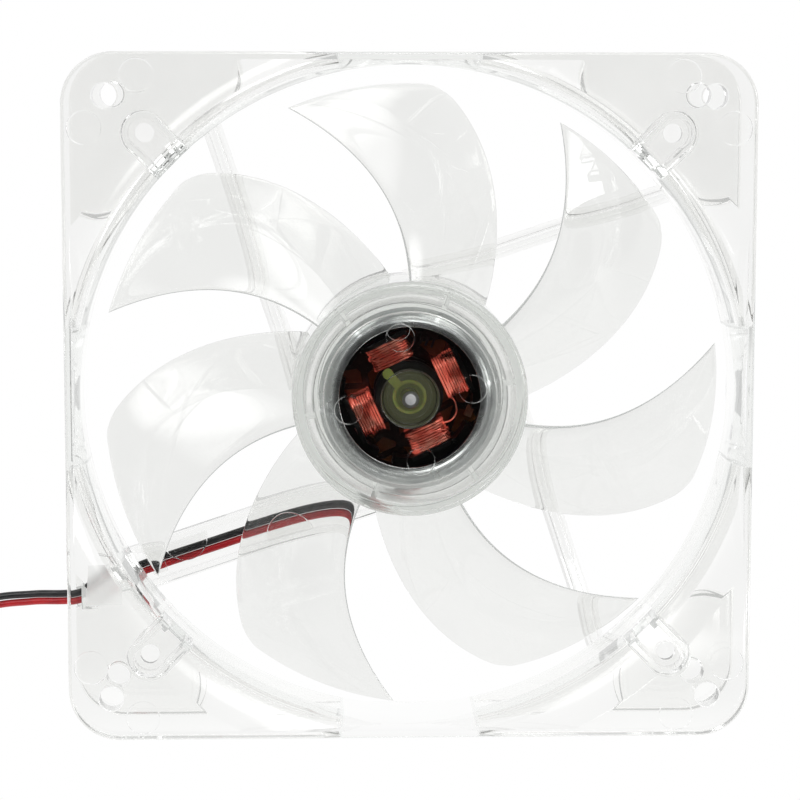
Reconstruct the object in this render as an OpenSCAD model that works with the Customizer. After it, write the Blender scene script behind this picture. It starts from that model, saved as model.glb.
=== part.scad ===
// Clear axial case fan with a sleeve-bearing two-wire motor.
// +Z is up, the rotor turns about Y and the intake side faces -Y.
// The origin is the centre of the exhaust-side mounting face.
// Modules are drawn in fan coordinates: the axis is z, z = 0 is the exhaust face
// and z = frame_d is the intake face.  in_place() then stands the fan upright.

/* [Frame] */
// Width and height of the square frame
frame_w = 120; // [119:0.5:122]
// Depth of the frame along the air flow
frame_d = 25; // [25:0.5:27]
// Outer corner radius of the frame
corner_r = 9; // [7:0.5:10]
// Distance between neighbouring screw holes
hole_pitch = 105; // [104:0.5:105.5]
// Diameter of the screw holes
hole_d = 4.3; // [4:0.1:4.6]
// Thickness of the two mounting flanges
flange_t = 4; // [3.5:0.1:4.5]
// Radius of the air duct at its throat
throat_r = 57.8; // [57.4:0.1:58]
// Radius of the intake mouth in the corners
mouth_r = 65.8; // [64.5:0.1:66]
// Radius of the exhaust mouth in the corners
exit_r = 61.8; // [61:0.1:62.5]
// Thickness of the flat side walls
side_t = 1.3; // [1:0.1:1.4]
// Length of the solid stretch in the middle of each side
side_len = 25; // [20:1:30]
// Wall thickness of the flared mouths
flare_t = 1.8; // [1.5:0.1:2]

/* [Lamp pockets] */
// Outer diameter of each lamp pocket
pocket_d = 7.8; // [7.4:0.1:8]
// Bore of each lamp pocket
pocket_bore_d = 5.4; // [5.2:0.1:5.6]
// Depth of each lamp pocket, from the intake face
pocket_depth = 7.5; // [6:0.5:8]
// Width of the light slit between pocket and duct
pocket_slit_w = 3.4; // [3:0.1:4]
// Distance from the fan axis to the middle of a pocket's bore
pocket_r = 65.1; // [64.8:0.1:65.4]

/* [Struts] */
// Angle of the first strut
strut_angle = 18.4; // [17:0.1:20]
// Width of a plain strut
strut_w = 3.8; // [3.4:0.1:4.4]
// Depth of the struts and of the cable channel
strut_h = 4.6; // [4:0.1:4.8]
// Distance from the fan axis to the outer edge of each strut
strut_edge = 20.2; // [20:0.1:20.4]
// Width of the cable channel
channel_w = 8.2; // [7.8:0.1:8.4]
// Thickness of the channel's floor and walls
channel_t = 1.2; // [1:0.1:1.3]
// Radius of the half-round cable tabs
tab_r = 4.1; // [3.6:0.1:4.2]

/* [Motor base] */
// Outer radius of the motor base and of the hub
hub_r = 20.6; // [20.4:0.1:20.8]
// Thickness of the motor base floor
base_t = 1.6; // [1.4:0.1:1.7]
// Outer radius of the bearing tube
tube_r = 4; // [3.9:0.05:4.05]
// Bore radius of the bearing tube
tube_bore_r = 3; // [2.95:0.01:3.05]
// Front end of the bearing tube above the exhaust face
tube_top = 17; // [16.5:0.1:17.2]

/* [Impeller] */
// Number of blades
blade_count = 7; // [5:1:9]
// Radius of the blade tips
tip_r = 54.6; // [53:0.1:55.5]
// Blade thickness at the hub
blade_root_t = 1.7; // [1.4:0.1:2]
// Blade thickness at the tip
blade_tip_t = 1.2; // [1:0.1:1.4]
// Camber of the blade section
blade_camber = 0.3; // [0:0.05:0.4]
// Radius of the rounded trailing corner of the tip
blade_corner_r = 2.5; // [1:0.5:3]

/* [Motor] */
// Shaft diameter
shaft_d = 3; // [2.9:0.05:3.05]
// Radial running clearance in the sleeve bearing
running_gap = 0.03; // [0.02:0.01:0.06]
// Outer radius of the steel yoke ring
yoke_r = 15.9; // [15.7:0.05:15.95]
// Inner radius of the yoke's front flange
yoke_lip_r = 12.4; // [12:0.1:12.8]
// Outer radius of the stator poles
pole_r = 12.9; // [12.6:0.05:13]
// Direction of the first pole
pole_angle = 25; // [0:1:60]
// Height of the lamination stack
stack_h = 6; // [5:0.5:6]

/* [Lead] */
// Outer diameter of one insulated wire
wire_d = 1.3; // [1.1:0.05:1.3]
// Spacing of the connector's contacts
pitch = 2.54; // [2.5:0.01:2.54]

/* [Hidden] */
$fn = 96;

CLEAR = [0.86, 0.88, 0.88, 0.4];
STEEL = [0.62, 0.64, 0.64];
COPPER = [0.80, 0.27, 0.16];
NYLON = [0.72, 0.78, 0.36];
INSULATOR = [0.10, 0.09, 0.08];
BOARD = [0.36, 0.20, 0.08];
BLACK = [0.07, 0.07, 0.07];
RED = [0.80, 0.08, 0.10];
TIN = [0.75, 0.76, 0.78];
PAPER = [0.90, 0.90, 0.90];

eps = 0.1;
fit = 0.02;
half_w = frame_w / 2;
flat_in = half_w - side_t;
duct_r = half_w - 0.2;
mouth_z = frame_d - 9;
exit_z = 7;

// Depths, all measured from the exhaust face.
hub_front = frame_d - 1;
hub_rear = 5.2;
cap_t = 1.8;
hub_wall = 2;
hub_edge_r = 1;
hub_well_r = 16;
hub_well_t = 0.9;
hub_well_rear = 6.5;
boss_r = 5;
boss_rear = 18.2;
yoke_front = 20.2;
yoke_rear = 6.6;
yoke_t = 0.9;
magnet_t = 1.6;
magnet_front = 16.8;
magnet_rear = 7;
stack_mid = 11.5;
board_z = 3.2;
board_t = 1.2;
board_r = 15.2;
board_post_r = 1.2;
board_post_ring_r = 13.2;
board_post_angles = [40, 150, 225];
base_rim_t = 1.2;
well_z = 4.5;
well_r = 3.2;
label_r = 14;
label_t = 0.2;
label_recess = 0.3;
shaft_rear = 2.3;
clip_z = 3.1;
clip_t = 0.4;
groove_r = 1.2;

// Stator: a neck carries each coil, and a curved shoe faces the magnet.
core_r = 5.6;
neck_w = 2.6;
shoe_in_r = 11.4;
shoe_half_angle = 38;
lining_t = 0.4;
bobbin_t = 0.6;
coil_r = 8.1;
coil_len = 3.8;
coil_w = 6.9;
coil_hole_w = neck_w + 2 * lining_t + 0.1;
coil_hole_h = stack_h + 2 * bobbin_t + 0.1;
coil_h = 10.3;
coil_corner_r = 1.4;
pin_r = 0.35;
pin_ring_r = 5.25;
pin_angles = [70, 160, 340];

pocket_floor_t = 1.2;

wire_r = wire_d / 2;
wire_z = 2.3;
lead_gap = 0.68;
lead_steps = 4;
twist_from = 9;
twist_to = 13;
component_z = board_z + board_t + 2 * fit;
channel_mid = strut_edge - channel_w / 2;
channel_dir = strut_angle + 180;

// Cable run, from the circuit board through the channel to the connector.
exit_turn = [-54, -36.1];
exit_block = [[-58.6, -39.3, 2], [-42, -29.5, 8.5]];
lead_points = [
    [5.5, -9.5, wire_z], [3.0, -13.0, wire_z], [-1.2, -16.9, wire_z], [-7.6, -19.6, wire_z],
    [-20, -23.75, wire_z], [-34, -28.4, wire_z], [-47.8, -33.0, wire_z],
    [exit_turn[0], exit_turn[1], wire_z],
    [-60.5, -38.2, 2.6], [-68, -38.3, 3.4], [-76, -39.2, 4.4], [-82.5, -43.5, 5.2],
    [-86.5, -50.5, 5.6], [-91.5, -56, 5.6], [-98, -57.6, 5.6], [-104, -57.6, 5.6],
    [-108, -57.6, 5.6]];
lead_spans = len(lead_points) - 1;
connector_z = lead_points[lead_spans][2];
housing_l = 12.4;
housing_w = 3 * pitch + 0.3;
housing_t = 4.8;
housing_x = -100;
housing_y = -half_w + housing_t / 2;
housing_z = connector_z - pitch / 2;

// Stands the fan upright: fan z becomes -Y and fan y becomes +Z.
module in_place() rotate([90, 0, 0]) children();

// Rectangle with round corners, made of squares and circles.
module round_rect(w, h, r) {
    square([w - 2 * r, h], center = true);
    square([w, h - 2 * r], center = true);
    for (sx = [-1, 1], sy = [-1, 1])
        translate([sx * (w / 2 - r), sy * (h / 2 - r)]) circle(r);
}

module ring(r_out, r_in, z0, z1) {
    translate([0, 0, z0]) difference() {
        cylinder(r = r_out, h = z1 - z0);
        translate([0, 0, -eps]) cylinder(r = r_in, h = z1 - z0 + 2 * eps);
    }
}

// Box given by its two corners.
module span(low, high) translate(low) cube(high - low);

// Puts children on the line of a strut: x runs along it, y is the distance from the axis.
module on_strut(k) rotate([0, 0, strut_angle + 90 * k]) children();

// Radius of the circle that flares the duct from the throat to a mouth of radius r in depth h.
function flare_circle(r, h) = (pow(h, 2) + pow(r - throat_r, 2)) / (2 * (r - throat_r));

front_flare = flare_circle(mouth_r, frame_d - mouth_z);
rear_flare = flare_circle(exit_r, exit_z);

// The open air path: a cylinder that flares at both ends and stops at the flat side walls.
module air_path() {
    intersection() {
        rotate_extrude() {
            translate([0, -eps]) square([throat_r, frame_d + 2 * eps]);
            difference() {
                translate([0, mouth_z]) square([throat_r + front_flare, frame_d - mouth_z + eps]);
                translate([throat_r + front_flare, mouth_z]) circle(front_flare);
            }
            difference() {
                translate([0, -eps]) square([throat_r + rear_flare, exit_z + eps]);
                translate([throat_r + rear_flare, exit_z]) circle(rear_flare);
            }
        }
        span([-flat_in, -flat_in, -2 * eps], [flat_in, flat_in, frame_d + 2 * eps]);
    }
}

// Curved skins behind the two flared mouths.
module flare_skins() {
    rotate_extrude() {
        translate([throat_r + front_flare, mouth_z]) intersection() {
            difference() {
                circle(front_flare);
                circle(front_flare - flare_t);
            }
            translate([-front_flare, 0]) square([front_flare - 1, frame_d - mouth_z - 1]);
        }
        translate([throat_r + rear_flare, exit_z]) intersection() {
            difference() {
                circle(rear_flare);
                circle(rear_flare - flare_t);
            }
            translate([-rear_flare, -exit_z + 1]) square([rear_flare - 1, exit_z - 1]);
        }
    }
}

module frame_shell() {
    intersection() {
        union() {
            for (z = [0, frame_d - flange_t])
                translate([0, 0, z]) linear_extrude(flange_t) round_rect(frame_w, frame_w, corner_r);
            cylinder(r = duct_r, h = frame_d);
            flare_skins();
            span(exit_block[0], exit_block[1]);
            for (a = [0:90:270]) rotate([0, 0, a])
                span([flat_in - 1, -side_len / 2, 0], [half_w, side_len / 2, frame_d]);
        }
        linear_extrude(frame_d) round_rect(frame_w, frame_w, corner_r);
    }
}

// Plain strut: a flat foot with a narrow rib along its middle.
module plain_strut() {
    foot_h = 1.8;
    rib_w = strut_w * 0.5;
    mid = strut_edge - strut_w / 2;
    span([6, strut_edge - strut_w, 0], [duct_r, strut_edge, foot_h]);
    span([6, mid - rib_w / 2, 0], [duct_r, mid + rib_w / 2, strut_h]);
}

// Cable channel: a floor and two walls, with half-round tabs that hold the wires down.
module cable_channel() {
    low = strut_edge - channel_w;
    tab_z = strut_h - 0.8;
    outer_tab_x = 28;
    inner_tab_x = 46.8;
    hook_x = 51.6;
    hook_w = 2.6;
    span([6, low, 0], [duct_r, strut_edge, channel_t]);
    span([6, low, 0], [duct_r, low + channel_t, strut_h]);
    span([6, strut_edge - channel_t, 0], [duct_r, strut_edge, strut_h]);
    intersection() {
        union() {
            translate([inner_tab_x, low + channel_t, tab_z]) cylinder(r = tab_r, h = strut_h - tab_z);
            translate([outer_tab_x, strut_edge - channel_t, tab_z]) cylinder(r = tab_r, h = strut_h - tab_z);
            span([hook_x, low, tab_z], [hook_x + hook_w, strut_edge - 2 * channel_t, strut_h]);
        }
        span([6, low, 0], [duct_r, strut_edge, strut_h]);
    }
}

// Tunnel section with a gabled roof, starting at the origin and running along x.
module gabled_run(length, half_width) {
    eave_z = 3.5;
    pitch_ratio = 1.25;
    rotate([90, 0, 90]) linear_extrude(length)
        polygon([[-half_width, channel_t], [half_width, channel_t], [half_width, eave_z],
                 [0, eave_z + half_width * pitch_ratio], [-half_width, eave_z]]);
}

// Way out for the wires, from the channel through the exit block to the side.
module cable_exit() {
    run_half_w = 2.4;
    run_x = 55;
    run_l = 7.2;
    exit_half_w = 1.8;
    exit_l = 12;
    exit_angle = 198;
    bend_h = 2.3;
    on_strut(2) translate([run_x, channel_mid, 0]) gabled_run(run_l, run_half_w);
    translate([exit_turn[0], exit_turn[1], 0]) {
        translate([0, 0, channel_t]) cylinder(r = exit_half_w + 0.3, h = bend_h);
        rotate([0, 0, exit_angle]) gabled_run(exit_l, exit_half_w);
    }
}

module motor_base_cavity() {
    difference() {
        translate([0, 0, base_t]) cylinder(r = hub_r - base_rim_t, h = strut_h);
        for (a = board_post_angles) rotate([0, 0, a])
            translate([board_post_ring_r, 0, 0]) cylinder(r = board_post_r, h = board_z);
        cylinder(r = tube_r, h = frame_d);
    }
    on_strut(2) span([2, channel_mid - 2, base_t], [16, channel_mid + 2, strut_h + eps]);
    translate([0, 0, -eps]) cylinder(r = well_r, h = well_z + eps);
    translate([0, 0, well_z - eps]) cylinder(r = tube_bore_r, h = frame_d);
    translate([0, 0, -eps]) cylinder(r = label_r + 0.3, h = label_recess + eps);
}

// Lamp pockets: posts that stand in the intake flare, with a keyhole well open to the front.
module lamp_posts() {
    for (a = [45:90:315]) rotate([0, 0, a]) translate([0, 0, frame_d - pocket_depth - pocket_floor_t]) {
        translate([pocket_r, 0, 0]) cylinder(d = pocket_d, h = pocket_depth + pocket_floor_t);
        translate([throat_r - 2, 0.2 - pocket_d / 2, 0])
            cube([pocket_r - throat_r + 2, pocket_d - 0.4, pocket_depth + pocket_floor_t]);
    }
}

module lamp_wells() {
    well_w = pocket_bore_d - 0.4;
    for (a = [45:90:315]) rotate([0, 0, a]) translate([0, 0, frame_d - pocket_depth]) {
        translate([pocket_r, 0, 0]) cylinder(d = pocket_bore_d, h = frame_d);
        translate([pocket_r, 0, -pocket_floor_t - eps]) cylinder(d = pocket_slit_w, h = frame_d);
        translate([throat_r + 1.4, -well_w / 2, 0]) cube([pocket_r - throat_r - 1.4, well_w, frame_d]);
        translate([throat_r - 2, -pocket_slit_w / 2, 1]) cube([6, pocket_slit_w, frame_d]);
    }
}

module frame() {
    mark_r = 3;
    mark_depth = 0.3;
    mark_far = 56;
    mark_near = 47;
    color(CLEAR) in_place() difference() {
        union() {
            difference() {
                union() {
                    difference() {
                        frame_shell();
                        air_path();
                    }
                    lamp_posts();
                }
                translate([0, 0, -eps]) cylinder(r = throat_r, h = frame_d + 2 * eps);
            }
            intersection() {
                union() {
                    for (k = [0, 1, 3]) on_strut(k) plain_strut();
                    on_strut(2) cable_channel();
                    cylinder(r = hub_r, h = strut_h);
                }
                cylinder(r = duct_r - 0.3, h = frame_d);
            }
            cylinder(r = tube_r, h = tube_top);
        }
        motor_base_cavity();
        cable_exit();
        lamp_wells();
        for (sx = [-1, 1], sy = [-1, 1]) {
            translate([sx * hole_pitch / 2, sy * hole_pitch / 2, -eps])
                cylinder(d = hole_d, h = frame_d + 2 * eps);
            for (p = [[mark_far, mark_near], [mark_near, mark_far]])
                translate([sx * p[0], sy * p[1], frame_d - mark_depth]) cylinder(r = mark_r, h = 1);
        }
    }
}

module bearing_sleeve() {
    color("peru") in_place()
        ring(tube_bore_r - fit, shaft_d / 2 + running_gap, well_z + eps, well_z + 10);
}

// Dished ring in the mouth of the bearing tube, with a small tab hooked over its edge.
module oil_seal() {
    lip_t = 0.5;
    dish_r = 2.4;
    tab_angle = 134;
    tab_out = 5.4;
    color(NYLON) in_place() difference() {
        union() {
            translate([0, 0, tube_top - 1.8]) cylinder(r = tube_bore_r - fit, h = 1.8 + lip_t);
            rotate([0, 0, tab_angle]) {
                span([shaft_d / 2 + 0.1, -0.8, tube_top + fit], [tab_out, 0.8, tube_top + lip_t]);
                translate([tab_out, 0, tube_top + fit]) cylinder(r = 0.95, h = lip_t - fit, $fn = 32);
            }
        }
        translate([0, 0, tube_top - 2]) cylinder(r = shaft_d / 2 + 0.2, h = 4);
        translate([0, 0, tube_top]) cylinder(r = dish_r, h = 1);
    }
}

module thrust_washer() {
    color(PAPER) in_place() ring(well_r - fit, shaft_d / 2 + 0.1, well_z - 0.65, well_z - 0.05);
}

module rear_plug() {
    color(BLACK) in_place() translate([0, 0, label_recess]) cylinder(r = well_r - fit, h = 1.2);
}

module rear_label() {
    color(PAPER) in_place() translate([0, 0, label_recess - label_t - fit])
        cylinder(r = label_r, h = label_t);
}

module on_poles() for (k = [0:3]) rotate([0, 0, pole_angle + 90 * k]) children();

module stator_core() {
    color("dimgray") in_place() translate([0, 0, stack_mid - stack_h / 2]) {
        linear_extrude(stack_h) difference() {
            union() {
                circle(core_r);
                on_poles() translate([0, -neck_w / 2]) square([12, neck_w]);
                difference() {
                    circle(pole_r);
                    circle(shoe_in_r);
                    for (k = [0:3]) rotate(pole_angle + 45 + 90 * k)
                        polygon([[0, 0], [20, -20 * tan(45 - shoe_half_angle)],
                                 [20, 20 * tan(45 - shoe_half_angle)]]);
                }
            }
            circle(tube_r + fit);
        }
    }
}

// One half of the coil former; wall is the height of its outer lips beyond the stack.
module bobbin_half(wall) {
    side = neck_w / 2 + lining_t;
    top = stack_h / 2;
    lip_in_r = 10.2;
    lip_out_r = 11;
    lip_half_w = 4.3;
    difference() {
        union() {
            translate([0, 0, top + fit]) cylinder(r = core_r + 0.5, h = bobbin_t - fit);
            on_poles() {
                span([tube_r, -side, top + fit], [lip_out_r, side, top + bobbin_t]);
                for (s = [-1, 1]) mirror([0, s < 0 ? 1 : 0, 0])
                    span([core_r + 0.2, neck_w / 2 + fit, fit], [lip_out_r, side, top + bobbin_t]);
                span([lip_in_r, -lip_half_w, top + fit], [lip_out_r, lip_half_w, top + wall]);
            }
        }
        translate([0, 0, -1]) cylinder(r = tube_r + fit, h = 20);
    }
}

module front_insulator() {
    color(INSULATOR) in_place() translate([0, 0, stack_mid]) bobbin_half(2.6);
}

module rear_insulator() {
    color(INSULATOR) in_place() difference() {
        translate([0, 0, stack_mid]) mirror([0, 0, 1]) bobbin_half(2.2);
        for (a = pin_angles) rotate([0, 0, a]) translate([pin_ring_r, 0, board_z])
            cylinder(r = pin_r + fit, h = 10, $fn = 24);
    }
}

// Winding around one pole neck, as a rounded rectangular ring.
module coil(k) {
    color(COPPER) in_place() rotate([0, 0, pole_angle + 90 * k])
        translate([coil_r - coil_len / 2, 0, stack_mid]) rotate([90, 0, 90])
            linear_extrude(coil_len) difference() {
                round_rect(coil_w, coil_h, coil_corner_r);
                square([coil_hole_w, coil_hole_h], center = true);
            }
}

module coil_1() coil(0);
module coil_2() coil(1);
module coil_3() coil(2);
module coil_4() coil(3);

module winding_pins() {
    color(TIN) in_place() for (a = pin_angles) rotate([0, 0, a])
        translate([pin_ring_r, 0, board_z - 0.6]) cylinder(r = pin_r, h = 5.8, $fn = 24);
}

module circuit_board() {
    color(BOARD) in_place() translate([0, 0, board_z + fit]) difference() {
        cylinder(r = board_r, h = board_t);
        translate([0, 0, -eps]) {
            cylinder(r = tube_r + 0.1, h = 2 * board_t);
            for (a = pin_angles) rotate([0, 0, a]) translate([pin_ring_r, 0, 0])
                cylinder(r = pin_r + 0.1, h = 2 * board_t, $fn = 24);
            rotate([0, 0, pole_angle + 225]) translate([board_r + 1, 0, 0]) cylinder(r = 2.5, h = 5);
        }
    }
}

module driver_ic() {
    color(BLACK) in_place() rotate([0, 0, pole_angle + 45]) translate([11.8, 0, component_z]) {
        span([-1.5, -2.1, 0.15], [1.5, 2.1, 1.5]);
        for (i = [-1.5:1:1.5]) span([-3.4, i * 1.1 - 0.2, 0], [-1.5, i * 1.1 + 0.2, 0.35]);
    }
}

module diode() {
    color(BLACK) in_place() rotate([0, 0, pole_angle + 135]) translate([12.5, 0, component_z + 0.85])
        rotate([90, 0, 0]) {
            translate([0, 0, -1.9]) cylinder(r = 0.85, h = 3.8);
            translate([0, 0, -3.4]) cylinder(r = 0.3, h = 6.8);
        }
}

module chip_capacitor() {
    color("tan") in_place() rotate([0, 0, pole_angle - 45]) translate([12, 0, component_z])
        span([-0.65, -1, 0], [0.65, 1, 1]);
}

// Solder cone around a pin, on the rear of the board.
module solder_cone(r, h) {
    translate([0, 0, board_z - h]) difference() {
        cylinder(r1 = pin_r + 0.2, r2 = r, h = h);
        translate([0, 0, -eps]) cylinder(r = pin_r + fit, h = h + 2 * eps, $fn = 24);
    }
}

module solder_joints() {
    color(TIN) in_place() {
        for (a = pin_angles) rotate([0, 0, a]) translate([pin_ring_r, 0, 0]) solder_cone(0.9, 0.5);
        for (s = [-1, 1]) {
            end = lead_end(s);
            translate([end[0], end[1], board_z - 0.9]) cylinder(r1 = 0.5, r2 = 0.85, h = 0.9);
        }
    }
}

// Catmull-Rom curve through the lead's points; u counts spans from the first point.
function spline(p, u) =
    let (
        n = len(p) - 1,
        i = min(floor(u), n - 1),
        t = u - i,
        a = p[max(i - 1, 0)],
        b = p[i],
        c = p[i + 1],
        d = p[min(i + 2, n)])
    0.5 * (2 * b + (c - a) * t + (2 * a - 5 * b + 4 * c - d) * pow(t, 2)
           + (3 * b - a - 3 * c + d) * pow(t, 3));

function unit(v) = v / norm(v);
function lead_at(u) = spline(lead_points, u);
function lead_dir(u) =
    unit(lead_at(min(u + 0.05, lead_spans)) - lead_at(max(u - 0.05, 0)));
function lead_turn(u) = 90 * min(max((u - twist_from) / (twist_to - twist_from), 0), 1);
function lead_spread(u) = lead_gap + (pitch / 2 - lead_gap) * lead_turn(u) / 90;

// Sideways offset of a wire: across the run in the channel, stacked front to back at the connector.
function lead_offset(u) =
    lead_spread(u) * (cos(lead_turn(u)) * unit(cross(lead_dir(u), [0, 0, 1]))
                      + sin(lead_turn(u)) * [0, 0, 1]);
function wire_line(side) =
    [for (i = [0:lead_steps * lead_spans]) lead_at(i / lead_steps) + side * lead_offset(i / lead_steps)];
function lead_end(side) = lead_at(0) + side * lead_offset(0) - (wire_r + 0.35) * lead_dir(0);

// Round tube swept along a line of points that stays close to the fan's x-y plane.
module sweep(line, r) {
    sides = 12;
    last = len(line) - 1;
    rings = [for (i = [0:last])
        let (
            t = unit(line[min(i + 1, last)] - line[max(i - 1, 0)]),
            n = unit(cross(t, [0, 0, 1])),
            b = cross(n, t))
        for (j = [0:sides - 1]) line[i] + r * (cos(360 * j / sides) * n + sin(360 * j / sides) * b)];
    walls = [for (i = [0:last - 1], j = [0:sides - 1])
        let (k = (j + 1) % sides)
        each [[i * sides + j, i * sides + k, (i + 1) * sides + k],
              [i * sides + j, (i + 1) * sides + k, (i + 1) * sides + j]]];
    near = [for (j = [sides - 1:-1:0]) j];
    far = [for (j = [0:sides - 1]) last * sides + j];
    polyhedron(points = rings, faces = concat(walls, [near, far]));
}

module black_wire() color(BLACK) in_place() sweep(wire_line(1), wire_r);
module red_wire() color(RED) in_place() sweep(wire_line(-1), wire_r);

// Three-way crimp housing, open at both ends of each cavity.
module connector_housing() {
    cavity = 1.9;
    color(BLACK) in_place() translate([housing_x - housing_l, housing_y, housing_z]) difference() {
        span([0, -housing_t / 2, -housing_w / 2], [housing_l, housing_t / 2, housing_w / 2]);
        for (k = [-1:1]) span([-eps, -cavity / 2, k * pitch - cavity / 2],
                              [housing_l + eps, cavity / 2, k * pitch + cavity / 2]);
    }
}

module connector_contacts() {
    box_w = 1.7;
    color(TIN) in_place() for (k = [0, 1])
        translate([housing_x - housing_l, housing_y, housing_z + k * pitch]) difference() {
            span([0.8, -box_w / 2, -box_w / 2], [4, box_w / 2, box_w / 2]);
            span([0, -0.5, -0.5], [5, 0.5, 0.5]);
        }
}

// Blade outline: angles of the leading and trailing edges grow with radius (forward sweep).
function out(r) = (r - 40) / 10;
function lead_angle(r) = 48.89 + 7.83 * out(r) + 0.886 * pow(out(r), 2) - 0.279 * pow(out(r), 3);
function trail_angle(r) =
    16.09 + 9.48 * out(r) + 0.465 * pow(out(r), 2) + 0.505 * pow(out(r), 3) + corner_angle(r);
function lead_z(r) = 20.54 - 0.106 * (r - 40);
function trail_z(r) = 6.755 + 0.015 * (r - 40);
function past_corner(r) = max(r - (tip_r - blade_corner_r), 0);
function corner_angle(r) =
    (blade_corner_r - sqrt(pow(blade_corner_r, 2) - pow(past_corner(r), 2))) / r * 180 / PI;

// Blade section at radius r: s runs from the trailing edge (0) to the leading edge (1).
function camber_angle(r, s) = trail_angle(r) + (lead_angle(r) - trail_angle(r)) * s;
function camber_z(r, s) =
    trail_z(r) + (lead_z(r) - trail_z(r)) * (s + blade_camber * s * (1 - s));
function camber_slope(r, s) =
    [(lead_angle(r) - trail_angle(r)) * PI / 180 * r,
     (lead_z(r) - trail_z(r)) * (1 + blade_camber * (1 - 2 * s))];
function blade_t(r, s) =
    let (full = blade_root_t + (blade_tip_t - blade_root_t) * (r - hub_r) / (tip_r - hub_r))
    0.5 + (full - 0.5) * pow(4 * s * (1 - s), 0.6);
function blade_point(r, s, side) =
    let (
        d = unit(camber_slope(r, s)),
        half = side * blade_t(r, s) / 2,
        a = camber_angle(r, s) - half * d[1] / r * 180 / PI,
        z = camber_z(r, s) + half * d[0])
    [r * cos(a), r * sin(a), z];

module blade() {
    spans = 12;
    cuts = 8;
    root = hub_r - hub_wall / 2;
    loop = 2 * (cuts + 1);
    points = [for (i = [0:spans])
        let (r = root + (tip_r - root) * i / spans)
        each concat(
            [for (j = [0:cuts]) blade_point(r, j / cuts, 1)],
            [for (j = [cuts:-1:0]) blade_point(r, j / cuts, -1)])];
    skin = [for (i = [0:spans - 1], j = [0:loop - 1])
        let (k = (j + 1) % loop)
        each [[i * loop + j, i * loop + k, (i + 1) * loop + k],
              [i * loop + j, (i + 1) * loop + k, (i + 1) * loop + j]]];
    root_cap = [for (j = [0:cuts - 1])
        each [[j + 1, j, loop - 1 - j], [j + 1, loop - 1 - j, loop - 2 - j]]];
    tip_cap = [for (f = root_cap) [for (v = [2:-1:0]) f[v] + spans * loop]];
    polyhedron(points = points, faces = concat(skin, root_cap, tip_cap));
}

module hub() {
    mark_r = 2.5;
    mark_depth = 0.2;
    mark_ring_r = 11;
    gate_r = 2.15;
    gate_ring_r = 12.55;
    gate_angle = 100;
    rib_t = 1;
    difference() {
        union() {
            rotate_extrude() {
                difference() {
                    union() {
                        translate([0, hub_rear]) square([hub_r, hub_front - hub_edge_r - hub_rear]);
                        translate([0, hub_front - 2]) square([hub_r - hub_edge_r, 2]);
                        translate([hub_r - hub_edge_r, hub_front - hub_edge_r]) circle(hub_edge_r, $fn = 32);
                    }
                    translate([0, hub_rear - eps])
                        square([hub_r - hub_wall, hub_front - cap_t - hub_rear + eps]);
                }
                translate([hub_well_r, hub_well_rear])
                    square([hub_well_t, hub_front - cap_t - hub_well_rear + eps]);
                translate([hub_well_r - 0.8, yoke_front + fit])
                    square([0.8 + eps, hub_front - cap_t - yoke_front]);
                translate([0, boss_rear]) square([boss_r, hub_front - cap_t - boss_rear + eps]);
            }
            for (a = [9.5:60:350]) rotate([0, 0, a])
                span([hub_well_r + 0.4, -rib_t / 2, hub_well_rear + 1],
                     [hub_r - hub_wall / 2, rib_t / 2, hub_front - cap_t + eps]);
        }
        translate([0, 0, boss_rear - eps]) cylinder(r = shaft_d / 2 + 0.01, h = 10);
        for (a = [9.5:90:350]) rotate([0, 0, a])
            translate([mark_ring_r, 0, hub_front - mark_depth]) cylinder(r = mark_r, h = 1);
        rotate([0, 0, gate_angle]) translate([gate_ring_r, 0, hub_front - cap_t - 1]) {
            cylinder(r = gate_r, h = 1 + mark_depth);
            translate([0, 0.05 - gate_r, 0])
                cube([hub_well_r - 1 - gate_ring_r, 2 * gate_r - 0.1, 1 + mark_depth]);
        }
    }
}

module impeller() {
    color(CLEAR) in_place() {
        hub();
        for (k = [0:blade_count - 1]) rotate([0, 0, 360 * k / blade_count]) difference() {
            blade();
            translate([0, 0, hub_rear]) cylinder(r = hub_r - hub_wall + 0.2, h = hub_front);
        }
    }
}

// Drawn steel ring with a rounded front corner and an inward lip.
module yoke_ring() {
    lip_flat = 0.2;
    bend = yoke_r - yoke_lip_r - lip_flat;
    color(STEEL) in_place() rotate_extrude() {
        translate([yoke_r - yoke_t, yoke_rear]) square([yoke_t, yoke_front - bend - yoke_rear]);
        translate([yoke_lip_r, yoke_front - yoke_t]) square([yoke_r - bend - yoke_lip_r, yoke_t]);
        translate([yoke_r - bend, yoke_front - bend]) intersection() {
            difference() {
                circle(bend, $fn = 48);
                circle(bend - yoke_t, $fn = 48);
            }
            square(bend);
        }
    }
}

module magnet_ring() {
    outer = yoke_r - yoke_t - fit;
    color([0.16, 0.15, 0.14]) in_place() ring(outer, outer - magnet_t, magnet_rear, magnet_front);
}

module shaft() {
    r = shaft_d / 2;
    chamfer = 0.5;
    front = hub_front - 0.3;
    color("silver") in_place() rotate_extrude() difference() {
        polygon([[0, shaft_rear], [r - chamfer, shaft_rear], [r, shaft_rear + chamfer],
                 [r, front - chamfer], [r - chamfer, front], [0, front]]);
        translate([groove_r, clip_z]) square([1, clip_t + 0.1]);
    }
}

module retaining_clip() {
    color(NYLON) in_place() difference() {
        ring(2.5, groove_r + fit, clip_z + 0.05, clip_z + 0.05 + clip_t);
        span([0, -0.8, clip_z - eps], [4, 0.8, clip_z + 1]);
    }
}

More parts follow.
